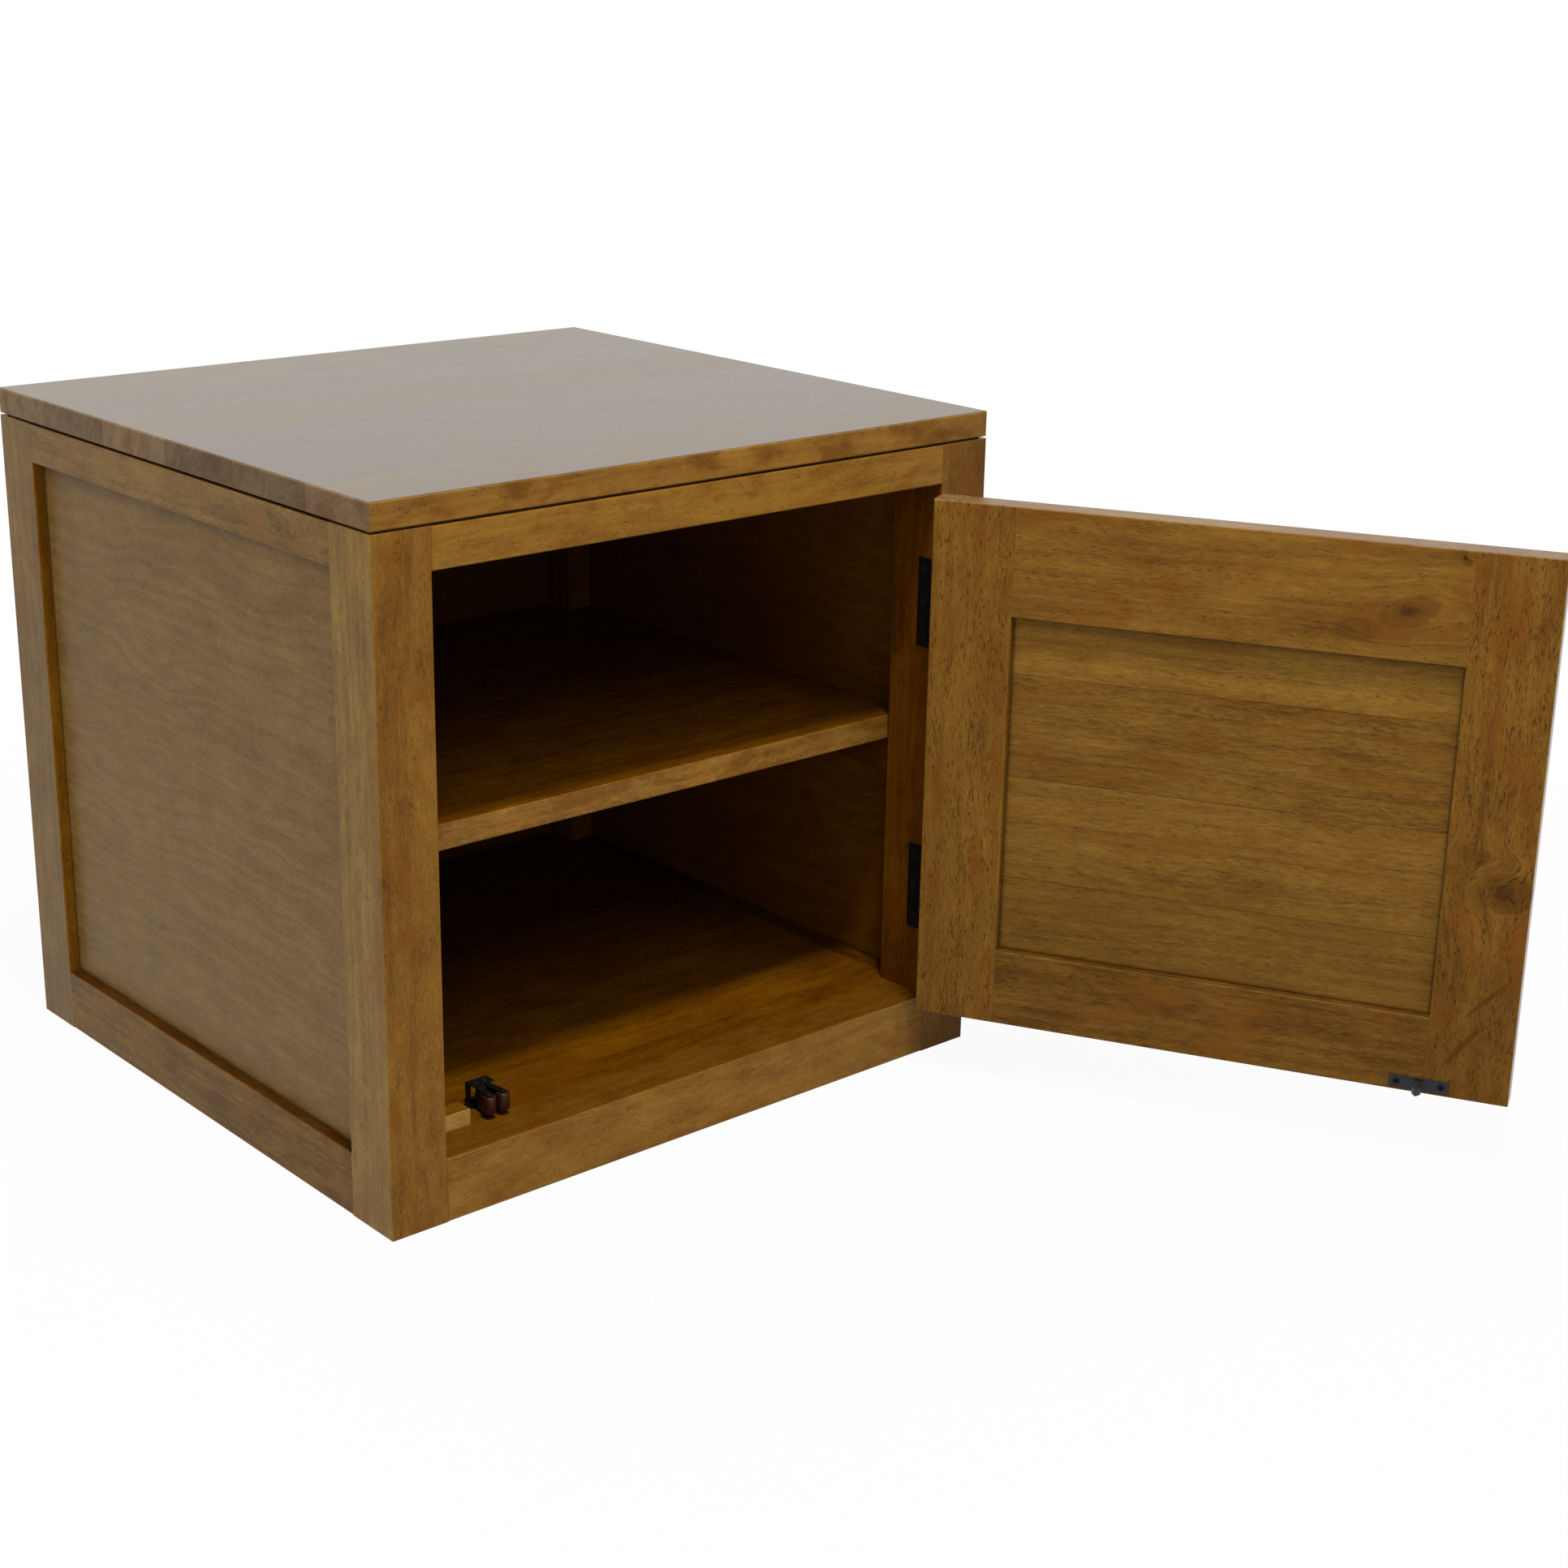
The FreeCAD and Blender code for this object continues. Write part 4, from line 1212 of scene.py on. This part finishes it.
@dataclass
class Carcass(Woodwork):
    """Posts, rails, panels and the top slab."""

    first_cut: int = 3
    tenon: float = 0.018
    # How much lighter than the middle tone each front post and each rail is
    post_tones: tuple[float, float] = (0.0, -0.12)
    front_rail_tones: tuple[float, float] = (0.26, 0.2)
    side_rail_tones: tuple[float, float] = (-0.16, -0.26)
    slab: Wood = Wood(
        (0.110, 0.064, 0.026), board_width=0.085, tint_share=0.5, gloss=(0.26, 0.34),
        band_share=0.3, cloud_share=1.0, fleck_share=0.5, arris=0.04, figure=(1.5, 1.0, 1.0),
        pore_size=1.3,
    )
    # Painted shade: the panels' middle tone, seen on the back panel's inner face, is darkened for
    # the shade inside the cabinet
    panel: Wood = Wood(
        (0.100, 0.037, 0.0015), board_width=0.095, tint_share=0.12, pore_depth=0.25,
        band_share=0.15, waver=0.04, fleck_share=1.1, cloud_share=0.5, seam_depth=0.1,
        figure=(2.2, 1.0, 1.0), red_share=0.25, rim_shade_width=0.004,
    )

    def boards(self) -> list[Board]:
        """List every board of the cabinet's shell.

        Returns:
            The boards, in the order of their cuts.
        """
        slab_faces = (
            # The top's tone is painted shade
            Face(UP, SLAB_TOP_SHADED, lacquer=0.575),
            *(Face(way, SLAB_FRONT, flame=0.6) for way in (FRONT, BACK)),
            *(Face(way, SLAB_END, lacquer=0.06, flame=0.35) for way in (LEFT, RIGHT)),
        )
        back_faces = (Face(BACK, PANEL_OUTER, lacquer=0.06),)
        found = [
            Board("top_slab", Grain.ACROSS_FLAT, self.slab, faces=slab_faces),
            Board("back_panel", Grain.ACROSS_UPRIGHT, self.panel, faces=back_faces),
        ]
        upper, rear = Face(UP, SHADED), Face(BACK, OUTER, lacquer=0.07)
        for level, tone in zip(("top", "bottom"), self.front_rail_tones):
            for end, lift, faces in (("front", tone, (upper,)), ("rear", 0.0, (upper, rear))):
                name = f"{end}_{level}_rail"
                found.append(
                    Board(name, Grain.ACROSS_UPRIGHT, FRONT_WOOD, lift, self.tenon, faces)
                )
        for side, out, inward, tone in zip(
            ("left", "right"), (LEFT, RIGHT), (RIGHT, LEFT), self.post_tones
        ):
            # The posts' inward faces carry painted shade
            front_faces = (Face(out, OUTER, lacquer=0.07), Face(inward, POST_INNER_SHADED))
            # The rear posts' front faces carry painted shade
            rear_faces = (Face(out, OUTER_REAR, lacquer=0.06), Face(FRONT, RECESS_SHADED), rear)
            for end, lift, faces in (("front", tone, front_faces), ("rear", 0.0, rear_faces)):
                name = f"{end}_{side}_post"
                found.append(Board(name, Grain.UPRIGHT_FRONT, FRONT_WOOD, lift, faces=faces))
            # The foot rail's outer face carries painted shade
            outer_faces = (Face(out, OUTER, lacquer=0.075), Face(out, OUTER_FOOT_SHADED))
            for level, lift, face in zip(("top", "bottom"), self.side_rail_tones, outer_faces):
                name = f"{side}_{level}_rail"
                found.append(
                    Board(name, Grain.DEEP_UPRIGHT, FRONT_WOOD, lift, self.tenon, (face, upper))
                )
            # The panels' inward faces carry painted shade
            faces = (Face(out, PANEL_OUTER, lacquer=0.06), Face(inward, PANEL_INNER_SHADED))
            found.append(Board(side + "_panel", Grain.DEEP_UPRIGHT, self.panel, faces=faces))
        return found


@dataclass
class Interior(Woodwork):
    """Floor board, shelf, cleats, stop block and the screws that hold them."""

    first_cut: int = 31
    # Painted shade: the floor board, shelf and stop block are stained darker and redder than the
    # outside wood, for the shade inside the cabinet
    floor: Wood = Wood(
        (0.095, 0.033, 0.0007), board_width=0.09, tint_share=0.25, gloss=(0.24, 0.34),
        figure=(1.5, 1.0, 1.0),
    )
    shelf: Wood = Wood(
        (0.121, 0.0425, 0.001), board_width=0.09, tint_share=0.2, gloss=(0.24, 0.34),
        figure=(1.5, 1.0, 1.0), pore_size=1.3,
    )
    block: Wood = Wood((0.105, 0.043, 0.002))

    def boards(self) -> list[Board]:
        """List every wooden piece inside the cabinet.

        Returns:
            The boards, in the order of their cuts.
        """
        # The front faces of the shelf and the block carry painted light
        shelf_faces = (Face(FRONT, SHELF_FRONT_LIT, flame=0.5),)
        block_faces = (Face(FRONT, BLOCK_FRONT_LIT),)
        found = [
            Board("bottom_board", Grain.ACROSS_FLAT, self.floor),
            Board("shelf", Grain.ACROSS_FLAT, self.shelf, faces=shelf_faces),
            Board("door_stop_block", Grain.ACROSS_UPRIGHT, self.block, faces=block_faces),
        ]
        for side in ("left", "right"):
            for kind in ("shelf", "bottom", "top"):
                found.append(Board(f"{side}_{kind}_cleat", Grain.DEEP_UPRIGHT, CLEAT_WOOD_SHADED))
        return found

    def dress(self, nodes: dict[str, bpy.types.Object], effects: Effects) -> None:
        """Dress every piece inside the cabinet but the catch.

        Args:
            nodes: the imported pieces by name.
            effects: the shared node groups.
        """
        super().dress(nodes, effects)
        for name in ("shelf_cleat_screws", "bottom_cleat_screws", "top_fixing_screws"):
            dress(nodes[name], YELLOW_ZINC.material(effects))


@dataclass
class Door(Woodwork):
    """The framed door, its strike plate and its hinge leaves."""

    first_cut: int = 51
    on_door: bool = True
    tenon: float = 0.025
    free_stile_tone: float = -0.06
    bottom_rail_tone: float = -0.24
    stile: Wood = Wood(
        (0.157, 0.069, 0.0085), pore_share=0.15, pore_size=1.45, pore_depth=0.66, red_share=0.9,
    )
    rail: Wood = Wood((0.157, 0.072, 0.0097), pore_size=1.4, pore_share=0.115, red_share=0.8)
    panel: Wood = Wood(
        (0.162, 0.077, 0.0108), board_width=0.075, board_start=1.793, tint_share=0.45,
        pore_depth=0.42, pore_share=0.12, pore_size=1.4, band_share=0.4, fleck_share=1.5,
        cloud_share=0.7, rim_shade_width=0.003,
    )
    # Each knot's place, half length, half width, tilt, pull, body and core
    rail_knots: tuple[Knot, ...] = (
        Knot((-0.1145, 0.0, 0.3832), 0.0200, 0.0095, 20.0, 0.8, 0.5, 0.6),
        Knot((-0.1464, 0.0, 0.4214), 0.006, 0.0035, -60.0, 0.9, 0.5, 0.9),
        Knot((-0.0807, 0.0, 0.3708), 0.018, 0.007, 15.0, 0.3, 0.42, 0.05),
    )
    # Painted shade: a broad dark patch with only a body darkens the lower part of the door panel
    panel_painted_shade: tuple[Knot, ...] = (Knot((0.0, 0.0, 0.085), 0.5, 0.09, 0.0, 0.0, 0.28, 0.0),)
    stile_knots: tuple[Knot, ...] = (
        Knot((-0.1941, 0.0, 0.1993), 0.018, 0.013, 12.0, 0.9, 0.65, 0.55),
        Knot((-0.2080, 0.0, 0.2020), 0.010, 0.007, 20.0, 0.3, 0.95, 0.75),
        Knot((-0.1900, 0.0, 0.1230), 0.021, 0.0016, 48.0, 0.1, 0.75, 0.3),
        Knot((-0.1760, 0.0, 0.0860), 0.018, 0.0022, 55.0, 0.1, 0.75, 0.3),
        Knot((-0.1760, 0.0, 0.2240), 0.013, 0.005, -8.0, 0.7, 0.4, 0.2),
        # Painted shade: no knot but a broad dark patch over the foot of the free stile
        Knot((-0.1900, 0.0, 0.0400), 0.090, 0.110, 0.0, 0.0, 0.42, 0.0),
    )

    def boards(self) -> list[Board]:
        """List the stiles, rails and panel.

        Returns:
            The boards, in the order of their cuts.
        """
        upright, across = Grain.UPRIGHT_FRONT, Grain.ACROSS_UPRIGHT
        # The bottom rail's top face carries painted shade
        top, shaded_ledge = Face(UP, DOOR_TOP, lacquer=0.06), Face(UP, LEDGE_SHADED)
        # The free edge carries a painted sheen
        free_faces = (top, Face(LEFT, DOOR_EDGE_SHEEN, lacquer=0.55))
        free_tone, low_tone = self.free_stile_tone, self.bottom_rail_tone
        return [
            Board("door_hinge_stile", upright, self.stile, faces=(top,)),
            Board(
                "door_free_stile", upright, self.stile, free_tone,
                faces=free_faces, knots=self.stile_knots,
            ),
            Board("door_top_rail", across, self.rail, 0.0, self.tenon, (top,), self.rail_knots),
            Board("door_bottom_rail", across, self.rail, low_tone, self.tenon, (shaded_ledge,)),
            Board("door_panel", across, self.panel, knots=self.panel_painted_shade),
        ]

    def dress(self, nodes: dict[str, bpy.types.Object], effects: Effects) -> None:
        """Dress every piece that swings with the door.

        Args:
            nodes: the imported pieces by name.
            effects: the shared node groups.
        """
        super().dress(nodes, effects)
        dress(nodes["strike_plate"], DARK_STEEL.material(effects))
        dress(nodes["strike_screws"], BLACK_IRON.material(effects))
        dress(nodes["hinge_door_screws"], SCREW_IRON.material(effects))
        for name in ("upper_hinge_door_leaf", "lower_hinge_door_leaf"):
            dress(nodes[name], BLACK_IRON.material(effects))


@dataclass
class Hinges:
    """The pins and the leaves on the post."""

    radius: float = 0.0015
    dome: float = 0.0009
    smooth_angle: float = 60.0

    def dress(self, nodes: dict[str, bpy.types.Object], effects: Effects) -> None:
        """Dress the leaves and screws, and turn the pins with domed ends.

        Args:
            nodes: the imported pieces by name.
            effects: the shared node groups.
        """
        dress(nodes["hinge_post_screws"], SCREW_IRON.material(effects))
        for name in ("upper_hinge_post_leaf", "lower_hinge_post_leaf"):
            dress(nodes[name], BLACK_IRON.material(effects))
        for level in ("upper", "lower"):
            name = level + "_hinge_pin"
            low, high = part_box(name)
            foot = ((low.x + high.x) / 2, (low.y + high.y) / 2, low.z)
            profile = rounded_rims(self.radius, 0.0, high.z - low.z, (self.radius, self.dome))
            maker = MeshMaker(level + "_pin_turned")
            maker.grid(turned(profile, foot), wrap_rows=True)
            pin = maker.finish(self.smooth_angle)
            dress(pin, BLACK_IRON.material(effects))
            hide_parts(name)
            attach(pin, "cabinet")


@dataclass
class RollerCatch:
    """The catch's housing, arms, rollers, pins and springs."""

    bore: float = 0.00105
    fillet: float = 0.0006
    roller_smooth_angle: float = 50.0
    wire: float = 0.00025
    coil_radius: float = 0.0014
    coil_pitch: float = 0.00065
    coil_steps: int = 40
    leg: float = 0.0045
    leg_steps: int = 5
    spring_smooth_angle: float = 70.0

    def dress(self, nodes: dict[str, bpy.types.Object], effects: Effects) -> None:
        """Dress the steel parts and make the rollers and springs.

        Args:
            nodes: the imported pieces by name.
            effects: the shared node groups.
        """
        for name in ("catch_housing", "catch_left_arm", "catch_right_arm", "catch_screws"):
            dress(nodes[name], CATCH_BLACK.material(effects))
        for name in ("catch_pivot_pins", "catch_left_roller_pin", "catch_right_roller_pin"):
            dress(nodes[name], PIN_STEEL.material(effects))
        self._springs(effects)
        for side in ("left", "right"):
            name = f"catch_{side}_roller"
            low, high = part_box(name)
            rims = (self.fillet, self.fillet)
            outside = rounded_rims((high.x - low.x) / 2, low.z, high.z, rims)
            profile = np.vstack(([[self.bore, low.z]], outside, [[self.bore, high.z]]))
            foot = ((low.x + high.x) / 2, (low.y + high.y) / 2, 0.0)
            maker = MeshMaker(f"{side}_roller_turned")
            maker.grid(turned(profile, foot), wrap_rows=True, wrap_columns=True)
            roller = maker.finish(self.roller_smooth_angle)
            dress(roller, ROLLER_PLASTIC.material(effects))
            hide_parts(name)
            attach(roller, side + "_roller")

    def spring(self, middle: Point, side: float) -> np.ndarray:
        """One torsion spring of round wire: a coil round its pin between two straight legs.

        At turn t the coil's place is (side r cos t, r sin t, p t / 2 pi), with r its radius and p
        its pitch, and the legs run on along -Y and +Y from its ends.

        Args:
            middle: the middle of the coil.
            side: 1 for the right spring, -1 for its mirror image.

        Returns:
            The wire's surface as a grid of points.
        """
        turn = np.linspace(0.0, 2 * math.pi, self.coil_steps + 1)
        rise = self.coil_pitch * (turn / (2 * math.pi) - 0.5)
        coil = np.column_stack(
            (self.coil_radius * np.cos(turn), self.coil_radius * np.sin(turn), rise)
        )
        steps = np.linspace(self.leg, 0.0, self.leg_steps + 1)[:-1, None] * np.array(BACK)
        path = np.vstack((coil[0] - steps, coil, coil[-1] + steps[::-1]))
        return tube(path * np.array((side, 1.0, 1.0)) + np.array(middle), self.wire)

    def _springs(self, effects: Effects) -> None:
        """Coil both springs round the pivot pins.

        Args:
            effects: the shared node groups.
        """
        low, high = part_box("catch_springs")
        reach = self.coil_radius + self.wire
        y, z = (low.y + high.y) / 2, (low.z + high.z) / 2
        maker = MeshMaker("round_wire_springs")
        for side, x in ((1.0, high.x - reach), (-1.0, low.x + reach)):
            maker.grid(self.spring((x, y, z), side), wrap_columns=True)
        springs = maker.finish(self.spring_smooth_angle)
        dress(springs, PIN_STEEL.material(effects))
        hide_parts("catch_springs")
        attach(springs, "cabinet")


@dataclass(frozen=True)
class Lamp:
    """One square soft lamp that looks at a point."""

    name: str
    place: Point
    target: Point
    size: float
    power: float

    def hang(self) -> None:
        """Add the lamp to the scene."""
        data = bpy.data.lights.new(self.name, "AREA")
        data.shape = "SQUARE"
        data.size = self.size
        data.energy = self.power
        lamp = bpy.data.objects.new(self.name, data)
        lamp.location = self.place
        sight = Vector(self.target) - Vector(self.place)
        lamp.rotation_euler = sight.to_track_quat("-Z", "Y").to_euler()
        bpy.context.scene.collection.objects.link(lamp)


@dataclass
class Studio:
    """Pale floor, soft lamps, white surroundings and the camera."""

    floor_size: float = 80.0
    floor_points: int = 9
    floor_drop: float = 0.0002
    floor_colour: Colour = (0.45, 0.45, 0.45)
    # How far out the floor's white begins to rise and is full, and its shares there
    floor_fade: Span = (0.5, 1.6)
    floor_white: Span = (0.95, 1.0)
    ambient: float = 0.5
    lamps: tuple[Lamp, ...] = (
        Lamp("key", (-0.30, -0.78, 3.0), (0.0, 0.0, 0.25), 0.35, 86.0),
        Lamp("fill", (-0.25, -1.9, 2.8), (0.0, 0.0, 0.25), 2.0, 34.0),
        Lamp("side", (-2.1, 0.2, 2.5), (-0.2, 0.2, 0.25), 1.4, 31.0),
        Lamp("back", (0.2, 1.9, 3.0), (0.0, 0.3, 0.25), 1.0, 30.0),
    )
    eye: Point = (-1.05123, -1.27797, 0.79916)
    azimuth: float = 41.66
    elevation: float = 18.339
    roll: float = 1.079
    lens: float = 59.52
    sensor: float = 36.0

    def build(self) -> None:
        """Make the floor, the surroundings, the lamps and the camera."""
        self._floor()
        self._world()
        for lamp in self.lamps:
            lamp.hang()
        self._camera()

    @staticmethod
    def _white_to_sight(graph: Graph, plain: Socket, kind: str, share: Value) -> Socket:
        """Show white to the camera and to mirrors, and a plain shader to all other light.

        Args:
            graph: the tree's graph.
            plain: the plain shader.
            kind: the type of the white shader's node.
            share: how much of the white is shown.

        Returns:
            The mixed shader's socket.
        """
        path = graph.add("LightPath").outputs
        seen = graph.math("MAXIMUM", path["Is Camera Ray"], path["Is Glossy Ray"])
        seen = graph.math("MAXIMUM", seen, path["Is Transmission Ray"])
        white = graph.add(kind, WHITE, 1.0)
        return graph.add(
            "MixShader", graph.times(seen, share), plain, white.outputs[0]
        ).outputs[0]

    def _floor(self) -> None:
        """Lay a flat pale floor that keeps a soft shadow near the object."""
        steps = np.linspace(-self.floor_size / 2, self.floor_size / 2, self.floor_points)
        x, y = np.meshgrid(steps, steps, indexing="ij")
        maker = MeshMaker("studio_floor")
        maker.grid(np.stack((x, y, 0 * x - self.floor_drop), -1))
        floor = maker.finish()
        material, graph = blank_material("pale_floor")
        diffuse = graph.add("BsdfDiffuse", self.floor_colour)
        far = graph.vector("LENGTH", graph.add("TexCoord").outputs["Object"])
        share = graph.remap(far, *self.floor_fade, *self.floor_white)
        seen = self._white_to_sight(graph, diffuse.outputs[0], "Emission", share)
        graph.add("OutputMaterial", seen)
        floor.data.materials.append(material)

    def _world(self) -> None:
        """Make white surroundings that light the object at a plain level."""
        world = bpy.data.worlds.new("studio")
        world.use_nodes = True
        graph = Graph(world.node_tree)
        plain = graph.add("Background", WHITE, self.ambient)
        seen = self._white_to_sight(graph, plain.outputs[0], "Background", 1.0)
        graph.add("OutputWorld", seen)
        bpy.context.scene.world = world

    def _camera(self) -> None:
        """Set the camera at the table's viewing angle."""
        azimuth, elevation = math.radians(self.azimuth), math.radians(self.elevation)
        forward = Vector((
            math.sin(azimuth) * math.cos(elevation),
            math.cos(azimuth) * math.cos(elevation),
            -math.sin(elevation),
        ))
        data = bpy.data.cameras.new("camera")
        data.lens = self.lens
        data.sensor_width = self.sensor
        camera = bpy.data.objects.new("camera", data)
        camera.location = self.eye
        level = forward.to_track_quat("-Z", "Y").to_matrix()
        camera.rotation_euler = (
            level @ Matrix.Rotation(math.radians(self.roll), 3, "Z")
        ).to_euler()
        bpy.context.scene.collection.objects.link(camera)
        bpy.context.scene.camera = camera


def main() -> None:
    """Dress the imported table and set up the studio."""
    logging.basicConfig(level=logging.INFO, format="%(message)s")
    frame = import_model()
    nodes = frame["nodes"]
    effects = Effects()
    for assembly in (Carcass(), Interior(), Door(), Hinges(), RollerCatch()):
        assembly.dress(nodes, effects)
        LOG.info("%s is dressed", type(assembly).__name__)
    Studio().build()
    bpy.context.scene.view_settings.view_transform = "Standard"


if __name__ == "__main__":
    main()
